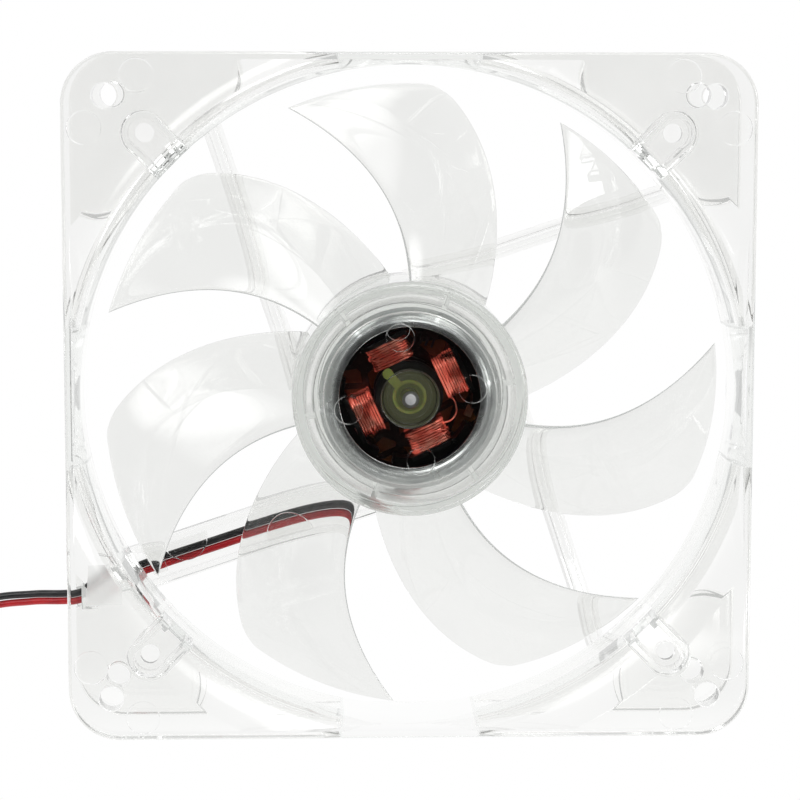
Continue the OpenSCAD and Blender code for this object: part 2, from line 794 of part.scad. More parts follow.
frame();
bearing_sleeve();
oil_seal();
thrust_washer();
rear_plug();
rear_label();
stator_core();
front_insulator();
rear_insulator();
coil_1();
coil_2();
coil_3();
coil_4();
winding_pins();
circuit_board();
driver_ic();
diode();
chip_capacitor();
solder_joints();
black_wire();
red_wire();
connector_housing();
connector_contacts();
impeller();
yoke_ring();
magnet_ring();
shaft();
retaining_clip();
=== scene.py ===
import math

import bmesh
import bpy
import numpy as np
from mathutils import Matrix, Vector

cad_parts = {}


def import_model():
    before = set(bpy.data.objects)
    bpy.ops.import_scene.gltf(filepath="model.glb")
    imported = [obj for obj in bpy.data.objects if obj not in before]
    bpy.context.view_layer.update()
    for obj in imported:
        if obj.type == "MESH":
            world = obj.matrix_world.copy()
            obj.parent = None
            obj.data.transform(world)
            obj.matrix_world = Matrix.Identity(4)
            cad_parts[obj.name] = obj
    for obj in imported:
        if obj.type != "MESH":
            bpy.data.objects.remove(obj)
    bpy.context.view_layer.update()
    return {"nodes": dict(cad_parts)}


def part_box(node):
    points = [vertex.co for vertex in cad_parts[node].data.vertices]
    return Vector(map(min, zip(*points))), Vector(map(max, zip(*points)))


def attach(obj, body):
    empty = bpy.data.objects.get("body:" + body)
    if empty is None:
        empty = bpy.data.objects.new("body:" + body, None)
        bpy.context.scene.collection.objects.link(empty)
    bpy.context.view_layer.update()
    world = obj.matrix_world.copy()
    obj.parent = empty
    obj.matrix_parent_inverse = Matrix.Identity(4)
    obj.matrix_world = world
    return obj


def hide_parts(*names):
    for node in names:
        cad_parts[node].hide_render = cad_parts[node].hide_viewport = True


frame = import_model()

MM = 0.001

# ------------------------------------------------------------ driving dimensions, mm, in fan coordinates
# Fan coordinates: the axis is z, z = 0 is the exhaust face, z = DEPTH is the intake face.
low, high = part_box("frame")
WIDTH = (high.z - low.z) / MM
DEPTH = (high.y - low.y) / MM
HALF = WIDTH / 2
CORNER_R = 9.0
HOLE_AT = 52.5
HOLE_R = 2.15
FLANGE_T = 4.0
DUCT_R = HALF - 0.2
SIDE_T = 1.3
FLAT_IN = HALF - SIDE_T
SIDE_LEN = 25.0
THROAT_R = 57.8
MOUTH_R, MOUTH_Z = 65.8, DEPTH - 9
EXIT_R, EXIT_Z = 61.8, 7.0
FLARE_T = 1.8
MARK_R, MARK_FAR, MARK_NEAR, MARK_DEPTH = 3.0, 56.0, 47.0, 0.3

POST_R, WELL_R, POST_AT = 3.9, 2.7, 65.1
WELL_DEPTH, WELL_FLOOR_T, SLIT_W = 7.5, 1.2, 3.4

STRUT_ANGLE, STRUT_W, STRUT_H, STRUT_EDGE = 18.4, 3.8, 4.6, 20.2
FOOT_H = 1.8
CHANNEL_W, CHANNEL_T, TAB_R = 8.2, 1.2, 4.1
CHANNEL_MID = STRUT_EDGE - CHANNEL_W / 2

HUB_R = 20.6
BASE_T, BASE_RIM_T = 1.6, 1.2
TUBE_R, TUBE_BORE_R, TUBE_TOP = 4.0, 3.0, 17.0
PLUG_R, PLUG_Z = 3.2, 4.5
LABEL_R, LABEL_RECESS = 14.3, 0.3

EXIT_TURN = (-54.0, -36.1)
EXIT_BLOCK = ((-58.6, -39.3, 2), (-42, -29.5, 8.5))
EAVE_Z, GABLE_PITCH = 3.5, 1.25

HUB_FRONT, HUB_REAR = DEPTH - 1, 5.2
CAP_T, HUB_WALL, HUB_EDGE_R = 1.8, 2.0, 1.0
RING_R, RING_T, RING_REAR = 16.0, 0.9, 6.5
BOSS_R, BOSS_REAR = 5.0, 18.2
YOKE_FRONT, YOKE_R, YOKE_LIP_R, YOKE_T = 20.2, 15.9, 12.4, 0.9
SHAFT_R, GROOVE_R = 1.5, 1.2

BLADES = 7
TIP_R = 54.6
ROOT_T, TIP_T, EDGE_T = 1.7, 1.2, 0.3
CAMBER = 0.3
BLADE_CORNER_R = 2.5

POLE_ANGLE = 25
STACK_MID = 11.5
COIL_R, COIL_LEN, COIL_W, COIL_H, COIL_CORNER_R = 8.1, 4.0, 7.4, 10.3, 1.9
STRANDS = 9
COIL_BULGE = 0.35

# The lead runs from the board through the channel and the exit block to the connector.
WIRE_R, LEAD_GAP, PITCH = 0.65, 0.68, 2.54
WIRE_Z = 2.3
LEAD_STEPS, TWIST_FROM, TWIST_TO = 12, 9, 13
HOUSING_X, HOUSING_L, HOUSING_T = -100, 12.4, 4.8
LEAD_POINTS = [
    (5.5, -9.5, WIRE_Z), (3.0, -13.0, WIRE_Z), (-1.2, -16.9, WIRE_Z), (-7.6, -19.6, WIRE_Z),
    (-20, -23.75, WIRE_Z), (-34, -28.4, WIRE_Z), (-47.8, -33.0, WIRE_Z), (*EXIT_TURN, WIRE_Z),
    (-60.5, -38.2, 2.6), (-68, -38.3, 3.4), (-76, -39.2, 4.4), (-82.5, -43.5, 5.2), (-86.5, -50.5, 5.6),
    (-91.5, -56, 5.6), (-98, -57.6, 5.6), (-104, -57.6, 5.6), (-108, -57.6, 5.6)]

# Light: the clear plastic's tones, the painted glows in the plastic, the painted highlight on the coils, and the
# studio by direction.
FRAME_TINT = (0.993, 0.993, 0.985)
ROTOR_TINT = (0.895, 0.898, 0.885)
CLEAR_BODY = (0.55, 0.60, 0.56)
CLEAR_PAINTED_GLOW, NYLON_PAINTED_GLOW = (0.86, 0.87, 0.85), (0.40, 0.42, 0.22)
CAP_MIDDLE = (0, -HUB_FRONT * MM, 0)
DARK_LEVEL = 0.06
COPPER_PAINTED_GLINT = 0.45
FLOOR_FADE = (13, 34)
FLOOR_STRIP, STRIP_LEVEL = (8, 54), 0.25
DEEP, DEEP_GLOW_LEVEL = 6, 0.68
SKY = ((0.02, 0.06), (0.067, 0.14), (0.25, 0.36), (0.5, 0.60), (0.75, 0.82))
SKY_WHITE = 0.88
SOFT_BOXES = [
    ((0.10, -0.75, 0.62), 9, 17, 4.0), ((0.82, -0.55, 0.05), 9, 16, 5.0), ((0.42, -0.28, 0.86), 7, 20, 2.6),
    ((0.50, -0.56, 0.66), 6, 17, 2.4), ((-0.62, -0.28, 0.73), 8, 20, 2.6)]
FLOOR_GLOW = ((34, -112), 12, 42, 4.5)

TURN = 288
ARC = 7


# ------------------------------------------------------------ mesh tools, all in fan coordinates and mm
def new_object(name, verts, faces):
    mesh = bpy.data.meshes.new(name)
    mesh.from_pydata([tuple(map(float, v)) for v in verts], [], [tuple(map(int, f)) for f in faces])
    bm = bmesh.new()
    bm.from_mesh(mesh)
    bmesh.ops.recalc_face_normals(bm, faces=bm.faces)
    bm.to_mesh(mesh)
    bm.free()
    obj = bpy.data.objects.new(name, mesh)
    bpy.context.scene.collection.objects.link(obj)
    return obj


def rounded(points):
    """Closed outline from (a, b, radius) corners, each corner rounded by its radius."""
    out = []
    n = len(points)
    for i, (a, b, r) in enumerate(points):
        p = np.array((a, b), float)
        if r <= 0:
            out.append(tuple(p))
            continue
        u = np.array(points[i - 1][:2], float) - p
        v = np.array(points[(i + 1) % n][:2], float) - p
        lu, lv = np.linalg.norm(u), np.linalg.norm(v)
        u, v = u / lu, v / lv
        half = math.acos(max(-1, min(1, float(u @ v)))) / 2
        reach = min(r / math.tan(half), lu * 0.49, lv * 0.49)
        r = reach * math.tan(half)
        centre = p + (u + v) / np.linalg.norm(u + v) * r / math.sin(half)
        a0 = math.atan2(*(p + u * reach - centre)[::-1])
        a1 = math.atan2(*(p + v * reach - centre)[::-1])
        sweep = (a1 - a0 + math.pi) % (2 * math.pi) - math.pi
        steps = max(2, round(abs(sweep) / (math.pi / 2) * ARC))
        for k in range(steps + 1):
            a = a0 + sweep * k / steps
            out.append((centre[0] + r * math.cos(a), centre[1] + r * math.sin(a)))
    return out


def lathe(name, profile, turn=TURN):
    """Solid of revolution about the axis from a closed (radius, z) profile that stays off the axis."""
    n = len(profile)
    angles = np.linspace(0, 2 * math.pi, turn, endpoint=False)
    verts = [(r * math.cos(a), r * math.sin(a), z) for a in angles for r, z in profile]
    faces = []
    for i in range(turn):
        for j in range(n):
            k = (j + 1) % n
            m = (i + 1) % turn
            faces.append((i * n + j, m * n + j, m * n + k, i * n + k))
    return new_object(name, verts, faces)


def loft(name, rings):
    """Solid through rings of points that all have the same count, with flat ends."""
    n = len(rings[0])
    verts = [p for ring in rings for p in ring]
    faces = [(i * n + j, i * n + (j + 1) % n, (i + 1) * n + (j + 1) % n, (i + 1) * n + j)
             for i in range(len(rings) - 1) for j in range(n)]
    faces.append(tuple(range(n)))
    faces.append(tuple(range((len(rings) - 1) * n, len(rings) * n)))
    return new_object(name, verts, faces)


def prism(name, outline, z0, z1):
    return loft(name, [[(x, y, z) for x, y in outline] for z in (z0, z1)])


def bar(name, section, x0, x1):
    """Solid along x from a (y, z) section."""
    return loft(name, [[(x, y, z) for y, z in section] for x in (x0, x1)])


def cuboid(name, lo, hi):
    (x0, y0, z0), (x1, y1, z1) = lo, hi
    return prism(name, [(x0, y0), (x1, y0), (x1, y1), (x0, y1)], z0, z1)


def disc_outline(r, steps, cx=0.0, cy=0.0):
    return [(cx + r * math.cos(2 * math.pi * k / steps), cy + r * math.sin(2 * math.pi * k / steps))
            for k in range(steps)]


def cylinder(name, r, z0, z1, cx=0.0, cy=0.0, steps=64):
    return prism(name, disc_outline(r, steps, cx, cy), z0, z1)


def eased_cylinder(name, r, z0, z1, ease0, ease1, cx=0.0, cy=0.0, steps=64):
    """Cylinder whose ends flare (ease > 0, for a cutter) or shrink (ease < 0) by a quarter round."""
    rings = []
    quarter = [k * math.pi / 2 / ARC for k in range(ARC + 1)]
    for end, ease, order in ((z0, ease0, 1), (z1, ease1, -1)):
        side = [(r + ease * (1 - math.sin(a)), end + order * abs(ease) * (1 - math.cos(a))) for a in quarter]
        side = side if order > 0 else side[::-1]
        rings += side if ease else [(r, end)]
    return loft(name, [[(x, y, z) for x, y in disc_outline(rr, steps, cx, cy)] for rr, z in rings])


def square_outline(half, corner, steps=16):
    out = []
    for q in range(4):
        cx = (half - corner) * (1 if q in (0, 3) else -1)
        cy = (half - corner) * (1 if q < 2 else -1)
        for k in range(steps + 1):
            a = math.pi / 2 * (q + k / steps)
            out.append((cx + corner * math.cos(a), cy + corner * math.sin(a)))
    return out


def soft_plate(name, half, corner, z0, z1, edge):
    """Square plate with round corners and eased edges."""
    rings = []
    for end, order in ((z0, 1), (z1, -1)):
        side = []
        for k in range(ARC + 1):
            a = k * math.pi / 2 / ARC
            side.append((edge * (1 - math.sin(a)), end + order * edge * (1 - math.cos(a))))
        rings += side if order > 0 else side[::-1]
    return loft(name, [[(x, y, z) for x, y in square_outline(half - i, corner - i)] for i, z in rings])


def turned(obj, degrees):
    obj.data.transform(Matrix.Rotation(math.radians(degrees), 4, "Z"))
    return obj


def moved(obj, x, y, z):
    obj.data.transform(Matrix.Translation((x, y, z)))
    return obj


def combine(obj, others, operation):
    """Boolean of obj with each of the others, which are used up."""
    for other in others:
        mod = obj.modifiers.new("cut", "BOOLEAN")
        mod.solver = "MANIFOLD"
        mod.operation = operation
        mod.object = other
        dg = bpy.context.evaluated_depsgraph_get()
        mesh = bpy.data.meshes.new_from_object(obj.evaluated_get(dg))
        obj.modifiers.remove(mod)
        old = obj.data
        obj.data = mesh
        bpy.data.meshes.remove(old)
        bpy.data.objects.remove(other)
    return obj


def add(obj, *others):
    return combine(obj, others, "UNION")


def cut(obj, *others):
    return combine(obj, others, "DIFFERENCE")


def common(obj, *others):
    return combine(obj, others, "INTERSECT")


def place(obj, material, body, stands_for, sharp=30):
    """Fan millimetres to the row frame, smooth shading, and the piece's place in the assembly."""
    mesh = obj.data
    mesh.transform(Matrix(((MM, 0, 0, 0), (0, 0, -MM, 0), (0, MM, 0, 0), (0, 0, 0, 1))))
    mesh.materials.clear()
    mesh.materials.append(material)
    mesh.shade_smooth()
    mesh.set_sharp_from_angle(angle=math.radians(sharp))
    mod = obj.modifiers.new("weighted", "WEIGHTED_NORMAL")
    mod.keep_sharp = True
    mod.weight = 50
    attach(obj, body)
    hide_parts(*stands_for)
    return obj


# ------------------------------------------------------------ frame
def flare_radius(r, h):
    return (h * h + (r - THROAT_R) ** 2) / (2 * (r - THROAT_R))


def flare_points(r, z_start, z_end, steps=24, inset=0.0):
    """Arc that leaves the throat tangentially at z_start and reaches radius r at z_end."""
    big = flare_radius(r, abs(z_end - z_start))
    full = math.asin(abs(z_end - z_start) / big)
    sign = 1 if z_end > z_start else -1
    centre = THROAT_R + big
    return [(centre - (big - inset) * math.cos(full * k / steps),
             z_start + sign * (big - inset) * math.sin(full * k / steps)) for k in range(steps + 1)]


def air_path():
    over = 1.0
    front = flare_points(MOUTH_R, MOUTH_Z, DEPTH)
    rear = flare_points(EXIT_R, EXIT_Z, 0)
    outline = [(10, -over), (EXIT_R, -over)] + rear[::-1] + front + [(MOUTH_R, DEPTH + over), (10, DEPTH + over)]
    path = lathe("path", outline)
    add(path, cylinder("core", 12, -over, DEPTH + over))
    common(path, cuboid("flats", (-FLAT_IN, -FLAT_IN, -2), (FLAT_IN, FLAT_IN, DEPTH + 2)))
    return path


def flare_skin(name, r, z_start, z_end):
    outer = flare_points(r, z_start, z_end)
    inner = flare_points(r, z_start, z_end, inset=FLARE_T)
    return lathe(name, outer[1:-1] + inner[1:-1][::-1])


def strut_bar(name, width, inner, height, x0=6.0, x1=DUCT_R, crown=0.4, draft=0.0):
    section = rounded([(inner, 0, 0.3), (inner + width, 0, 0.3), (inner + width - draft, height, crown),
                       (inner + draft, height, crown)])
    return bar(name, section, x0, x1)


def plain_strut(k):
    rib_w = STRUT_W * 0.6
    mid = STRUT_EDGE - STRUT_W / 2
    foot = strut_bar("foot", STRUT_W, STRUT_EDGE - STRUT_W, FOOT_H, crown=0.15, draft=0.6)
    add(foot, strut_bar("rib", rib_w, mid - rib_w / 2, STRUT_H, crown=0.15, draft=0.65))
    return turned(foot, STRUT_ANGLE + 90 * k)


def cable_channel():
    near = STRUT_EDGE - CHANNEL_W
    tab_z = STRUT_H - 0.8
    trough = strut_bar("trough", CHANNEL_W, near, STRUT_H)
    cut(trough, cuboid("hollow", (0, near + CHANNEL_T, CHANNEL_T), (WIDTH, STRUT_EDGE - CHANNEL_T, 9)))
    tabs = eased_cylinder("tab", TAB_R, tab_z, STRUT_H, -0.2, -0.2, 46.8, near + CHANNEL_T)
    add(tabs, eased_cylinder("tab2", TAB_R, tab_z, STRUT_H, -0.2, -0.2, 28, STRUT_EDGE - CHANNEL_T))
    add(tabs, cuboid("hook", (51.6, near, tab_z), (54.2, STRUT_EDGE - 2 * CHANNEL_T, STRUT_H)))
    common(tabs, cuboid("limit", (6, near + 0.3, 0), (DUCT_R, STRUT_EDGE - 0.3, STRUT_H)))
    add(trough, tabs)
    return turned(trough, STRUT_ANGLE + 180)


def lamp_post(k):
    base = DEPTH - WELL_DEPTH - WELL_FLOOR_T
    post = eased_cylinder("post", POST_R, base, DEPTH, -0.3, -0.3, POST_AT)
    web = rounded([(0.2 - POST_R, base, 0.3), (POST_R - 0.2, base, 0.3), (POST_R - 0.2, DEPTH, 0.3),
                   (0.2 - POST_R, DEPTH, 0.3)])
    add(post, bar("web", web, THROAT_R - 2, POST_AT))
    return turned(post, 45 + 90 * k)


def lamp_well(k):
    top = DEPTH + 1
    floor = DEPTH - WELL_DEPTH
    well = cylinder("well", WELL_R, floor, top, POST_AT)
    add(well, cylinder("drain", SLIT_W / 2, floor - WELL_FLOOR_T - 1, top, POST_AT))
    add(well, cuboid("nave", (THROAT_R + 1.4, 0.2 - WELL_R, floor), (POST_AT, WELL_R - 0.2, top)))
    add(well, cuboid("slit", (THROAT_R - 2, -SLIT_W / 2, floor + 1), (THROAT_R + 4, SLIT_W / 2, top)))
    return turned(well, 45 + 90 * k)


def gabled_run(name, x0, x1, half_width, y=0.0):
    section = [(y - half_width, CHANNEL_T), (y + half_width, CHANNEL_T), (y + half_width, EAVE_Z),
               (y, EAVE_Z + half_width * GABLE_PITCH), (y - half_width, EAVE_Z)]
    return bar(name, section, x0, x1)


def cable_exit():
    run = turned(gabled_run("run", 55, 62.2, 2.4, CHANNEL_MID), STRUT_ANGLE + 180)
    out = moved(turned(gabled_run("out", 0, 12, 1.8), 198), *EXIT_TURN, 0)
    add(run, cylinder("bend", 2.1, CHANNEL_T, 3.5, *EXIT_TURN))
    return add(run, out)


def motor_base_cavity():
    near = CHANNEL_MID - 2
    room = cylinder("room", HUB_R - BASE_RIM_T, BASE_T, 9, steps=TURN)
    cut(room, cylinder("tube", TUBE_R, 0, 10, steps=96))
    for a in (40, 150, 225):
        ca, sa = math.cos(math.radians(a)), math.sin(math.radians(a))
        cut(room, cylinder("post", 1.2, 0, 3.2, 13.2 * ca, 13.2 * sa, 32))
    way = turned(cuboid("way", (2, near, BASE_T), (17, near + 4, STRUT_H + 1)), STRUT_ANGLE + 180)
    return add(room, way)


def frame_piece():
    body = soft_plate("frame_clear", HALF, CORNER_R, 0, FLANGE_T, 0.5)
    add(body, soft_plate("front", HALF, CORNER_R, DEPTH - FLANGE_T, DEPTH, 0.5))
    add(body, cylinder("duct", DUCT_R, 0.4, DEPTH - 0.4, steps=TURN))
    skins = flare_skin("skin", MOUTH_R, MOUTH_Z, DEPTH)
    add(skins, flare_skin("skin2", EXIT_R, EXIT_Z, 0))
    common(skins, soft_plate("limit", HALF - 0.01, CORNER_R, 0, DEPTH, 0.5))
    add(body, skins, cuboid("exit_block", *EXIT_BLOCK))
    for k in range(4):
        side = rounded([(-SIDE_LEN / 2, FLAT_IN - 1, 0), (SIDE_LEN / 2, FLAT_IN - 1, 0),
                        (SIDE_LEN / 2, HALF, 0.4), (-SIDE_LEN / 2, HALF, 0.4)])
        add(body, turned(prism("side", side, 0.5, DEPTH - 0.5), 90 * k))
    cut(body, air_path())
    for k in range(4):
        add(body, lamp_post(k))
    cut(body, cylinder("throat", THROAT_R, -1, DEPTH + 1, steps=TURN))
    spider = eased_cylinder("base", HUB_R, 0, STRUT_H, -0.3, -0.3, steps=TURN)
    for k in (0, 1, 3):
        add(spider, plain_strut(k))
    add(spider, cable_channel())
    common(spider, cylinder("limit", DUCT_R - 0.3, -1, DEPTH, steps=TURN))
    add(body, spider)
    add(body, eased_cylinder("tube", TUBE_R, 0.5, TUBE_TOP, 0, -0.15, steps=96))
    cut(body, motor_base_cavity(), cable_exit())
    cut(body, cylinder("plug_well", PLUG_R, -1, PLUG_Z, steps=96), cylinder("bore", TUBE_BORE_R, 1, TUBE_TOP + 1, steps=96))
    cut(body, cylinder("label_seat", LABEL_R, -1, LABEL_RECESS, steps=TURN))
    for k in range(4):
        cut(body, lamp_well(k))
    for sx in (-1, 1):
        for sy in (-1, 1):
            cut(body, eased_cylinder("hole", HOLE_R, 0, DEPTH, 0.25, 0.25, sx * HOLE_AT, sy * HOLE_AT))
            for a, b in ((MARK_FAR, MARK_NEAR), (MARK_NEAR, MARK_FAR)):
                cut(body, eased_cylinder("mark", MARK_R, DEPTH - MARK_DEPTH, DEPTH + 1, -0.28, 0, sx * a, sy * b))
    return body


# ------------------------------------------------------------ impeller
def span_u(r):
    return (r - 40) / 10


def lead_angle(r):
    u = span_u(r)
    return 48.89 + 7.83 * u + 0.886 * u**2 - 0.279 * u**3


def trail_angle(r):
    u = span_u(r)
    past = max(r - (TIP_R - BLADE_CORNER_R), 0)
    corner = (BLADE_CORNER_R - math.sqrt(max(BLADE_CORNER_R**2 - past**2, 0))) / r * 180 / math.pi
    return 16.09 + 9.48 * u + 0.465 * u**2 + 0.505 * u**3 + corner


def lead_z(r):
    return 20.54 - 0.106 * (r - 40)


def trail_z(r):
    return 6.755 + 0.015 * (r - 40)


def blade_point(r, s, side, slim=1.0):
    """Point on one face of the blade: s runs from the trailing edge (0) to the leading edge (1)."""
    arc = (lead_angle(r) - trail_angle(r)) * math.pi / 180 * r
    rise = lead_z(r) - trail_z(r)
    slope = rise * (1 + CAMBER * (1 - 2 * s))
    length = math.hypot(arc, slope)
    full = ROOT_T + (TIP_T - ROOT_T) * (r - HUB_R) / (TIP_R - HUB_R)
    # the last stretch at each edge is a half round
    nose = EDGE_T / 2 / length
    d = min(s, 1 - s)
    fall = math.sqrt(max(1 - (1 - min(d / nose, 1)) ** 2, 0))
    thick = (EDGE_T + (full - EDGE_T) * (4 * s * (1 - s)) ** 0.6) * fall * slim
    half = side * thick / 2
    a = trail_angle(r) + (lead_angle(r) - trail_angle(r)) * s
    a = math.radians(a) - half * slope / length / r
    z = trail_z(r) + rise * (s + CAMBER * s * (1 - s)) + half * arc / length
    return (r * math.cos(a), r * math.sin(a), z)


def blade(k):
    cuts = 36
    nose = [0.0, 0.0012, 0.004, 0.009, 0.016, 0.026, 0.04]
    middle = list(np.linspace(0.06, 0.94, cuts))
    s_values = nose + middle + [1 - v for v in nose[::-1]]
    root = HUB_R - HUB_WALL / 2
    ease = TIP_T * 0.4
    radii = [(r, 1.0) for r in np.linspace(root, TIP_R - ease, 44)]
    for j in range(1, 6):
        a = math.pi / 2 * j / 5
        radii.append((TIP_R - ease + ease * math.sin(a), max(math.cos(a), 0.25) if j < 5 else 0.2))
    rings = []
    for r, slim in radii:
        front = [blade_point(r, s, 1, slim) for s in s_values]
        back = [blade_point(r, s, -1, slim) for s in s_values[-2:0:-1]]
        rings.append(front + back)
    return turned(loft("blade", rings), 360 * k / BLADES)


def impeller_piece():
    cap_in = HUB_FRONT - CAP_T
    e = 0.25
    profile = rounded([
        (SHAFT_R + 0.01, BOSS_REAR, 0), (BOSS_R, BOSS_REAR, 0.4), (BOSS_R, cap_in, 0.3),
        (RING_R - 0.8, cap_in, 0.2), (RING_R - 0.8, YOKE_FRONT + 0.02, 0.15), (RING_R, YOKE_FRONT + 0.02, 0),
        (RING_R, RING_REAR, e), (RING_R + RING_T, RING_REAR, e), (RING_R + RING_T, cap_in, 0.3),
        (HUB_R - HUB_WALL, cap_in, 0.5), (HUB_R - HUB_WALL, HUB_REAR, e), (HUB_R, HUB_REAR, e),
        (HUB_R, HUB_FRONT, HUB_EDGE_R), (SHAFT_R + 0.01, HUB_FRONT, 0)])
    hub = lathe("impeller_clear", profile, 240)
    for k in range(6):
        rib = rounded([(-0.5, RING_REAR + 1, 0.2), (0.5, RING_REAR + 1, 0.2), (0.5, cap_in + 0.1, 0),
                       (-0.5, cap_in + 0.1, 0)])
        add(hub, turned(bar("rib", rib, RING_R + 0.4, HUB_R - HUB_WALL / 2), 9.5 + 60 * k))
    for k in range(4):
        a = math.radians(9.5 + 90 * k)
        cut(hub, eased_cylinder("mark", 2.5, HUB_FRONT - 0.2, HUB_FRONT + 1, -0.19, 0,
                                11 * math.cos(a), 11 * math.sin(a)))
    gate = eased_cylinder("gate", 2.15, cap_in - 1, cap_in + 0.2, 0, -0.18, 12.55)
    add(gate, cuboid("slot", (12.55, -2.1, cap_in - 1), (RING_R - 1, 2.1, cap_in + 0.2)))
    cut(hub, turned(gate, 100))
    for k in range(BLADES):
        b = blade(k)
        cut(b, cylinder("inside", HUB_R - HUB_WALL + 0.2, 0, DEPTH, steps=240))
        add(hub, b)
    return hub


# ------------------------------------------------------------ motor and lead
def tube(name, line, radius, sides=16, squash_ends=True):
    """Round rod swept along a line of points, its ends rounded over."""
    pts = [np.array(p, float) for p in line]
    tangents = []
    for i in range(len(pts)):
        d = pts[min(i + 1, len(pts) - 1)] - pts[max(i - 1, 0)]
        tangents.append(d / np.linalg.norm(d))
    up = np.array((0.0, 0.0, 1.0)) if abs(tangents[0][2]) < 0.9 else np.array((1.0, 0.0, 0.0))
    normal = np.cross(tangents[0], up)
    normal /= np.linalg.norm(normal)
    frames = []
    for t in tangents:
        normal = normal - t * float(normal @ t)
        normal /= np.linalg.norm(normal)
        frames.append((normal, np.cross(t, normal)))
    rings = []

    def ring(centre, frame_at, r):
        n, b = frame_at
        rings.append([tuple(centre + r * (math.cos(a) * n + math.sin(a) * b))
                      for a in (2 * math.pi * j / sides for j in range(sides))])

    ease = radius * 0.25 if squash_ends else 0.0
    if ease:
        ring(pts[0] - tangents[0] * ease, frames[0], radius - ease)
    for c, f in zip(pts, frames):
        ring(c, f, radius)
    if ease:
        ring(pts[-1] + tangents[-1] * ease, frames[-1], radius - ease)
    return loft(name, rings)


def spline(points, steps):
    """Catmull-Rom curve through the points."""
    pts = [np.array(p, float) for p in points]
    n = len(pts) - 1
    out = []
    for k in range(n * steps + 1):
        u = k / steps
        i = min(int(u), n - 1)
        t = u - i
        a, b, c, d = pts[max(i - 1, 0)], pts[i], pts[i + 1], pts[min(i + 2, n)]
        out.append(0.5 * (2 * b + (c - a) * t + (2 * a - 5 * b + 4 * c - d) * t**2
                          + (3 * b - a - 3 * c + d) * t**3))
    return out


def winding(name, k):
    """Coil of enamelled wire: turns side by side along the pole, each a little out of line."""
    per_turn, around = 8, 24
    pitch = COIL_LEN / STRANDS
    x0 = COIL_R - COIL_LEN / 2
    core = COIL_CORNER_R - pitch / 2
    loop = []
    for q in range(4):
        cy = (COIL_W / 2 - COIL_CORNER_R) * (1 if q in (0, 3) else -1)
        cz = (COIL_H / 2 - COIL_CORNER_R) * (1 if q < 2 else -1)
        for i in range(around + 1):
            a = math.pi / 2 * (q + i / around)
            loop.append((cy, cz, a))
    flat = 6
    path = []
    for i, (cy, cz, a) in enumerate(loop):
        path.append((cy, cz, a))
        ny, nz, na = loop[(i + 1) % len(loop)]
        if math.hypot(ny - cy, nz - cz) > 0.01:
            for f in range(1, flat):
                path.append((cy + (ny - cy) * f / flat, cz + (nz - cz) * f / flat, a))
    rings = []
    for i, (cy, cz, a) in enumerate(path):
        t = 2 * math.pi * i / len(path)
        section = []
        for j in range(STRANDS * per_turn + 1):
            turn_no = min(j // per_turn, STRANDS - 1)
            u = 2 * (j / per_turn - turn_no) - 1
            wander = 0.05 * math.sin(2 * t + 1.7 * turn_no + k) + 0.04 * math.sin(3 * t + 2.9 * turn_no * (k + 1))
            groove = pitch / 2 * (1 - math.sqrt(max(1 - (0.985 * u) ** 2, 0)))
            ends = math.sin(math.pi * j / (STRANDS * per_turn))
            edge = min(j, STRANDS * per_turn - j) / per_turn
            bulge = COIL_BULGE * max(1 - (cy / (COIL_W / 2)) ** 2, 0) * abs(math.sin(a))
            r = core + pitch / 2 - groove + bulge + (wander - 0.12 * ends) * min(edge, 1)
            x = x0 + pitch * j / per_turn + 0.09 * math.sin(t + 0.6 * k) * ends
            section.append((x, cy + r * math.cos(a), cz + r * math.sin(a)))
        for x in (x0 + COIL_LEN, x0):
            section.append((x, cy + 0.05 * math.cos(a), cz + 0.05 * math.sin(a)))
        rings.append(section)
    n, m = len(rings[0]), len(rings)
    faces = [(i * n + j, i * n + (j + 1) % n, ((i + 1) % m) * n + (j + 1) % n, ((i + 1) % m) * n + j)
             for i in range(m) for j in range(n)]
    coil = new_object(name, [p for ring in rings for p in ring], faces)
    # loose turns that cross over the others on the front
    front = COIL_H / 2
    for n_turn, (xa, xb) in enumerate(((6.6, 8.3), (9.6, 8.6))):
        half = COIL_W / 2
        line = spline([(xa, -half - 0.02, front - 2.6), (xa, 0.25 - half, front - 0.55), (xa * 0.7 + xb * 0.3, -half / 2.6, front + 0.02),
                       (xb * 0.6 + xa * 0.4, half / 2.4, front + 0.03), (xb, half - 0.25, front - 0.55),
                       (xb, half + 0.02, front - 2.6)], 8)
        add(coil, tube("cross", line, pitch / 2 * 0.92, 10))
    coil.data.transform(Matrix.Translation((0, 0, STACK_MID)))
    return turned(coil, POLE_ANGLE + 90 * k)


def yoke():
    """Drawn steel ring: straight wall, full round shoulder and a rolled lip round the opening."""
    rear = 6.6
    bend = YOKE_R - YOKE_LIP_R - 0.2
    outer = [(YOKE_R - bend + bend * math.cos(a), YOKE_FRONT - bend + bend * math.sin(a))
             for a in (math.pi / 2 * k / 16 for k in range(17))]
    thin = bend - YOKE_T
    inner = [(YOKE_R - bend + thin * math.cos(a), YOKE_FRONT - bend + thin * math.sin(a))
             for a in (math.pi / 2 * k / 16 for k in range(16, -1, -1))]
    lip = rounded([(YOKE_LIP_R + 0.6, YOKE_FRONT, 0), (YOKE_LIP_R, YOKE_FRONT, 0.15),
                   (YOKE_LIP_R, YOKE_FRONT - YOKE_T, 0.1), (YOKE_LIP_R + 0.6, YOKE_FRONT - YOKE_T, 0)])
    return lathe("yoke", [(YOKE_R, rear + 0.1), *outer, *lip[1:-1], *inner, (YOKE_R - YOKE_T, rear),
                          (YOKE_R - 0.1, rear)], 240)


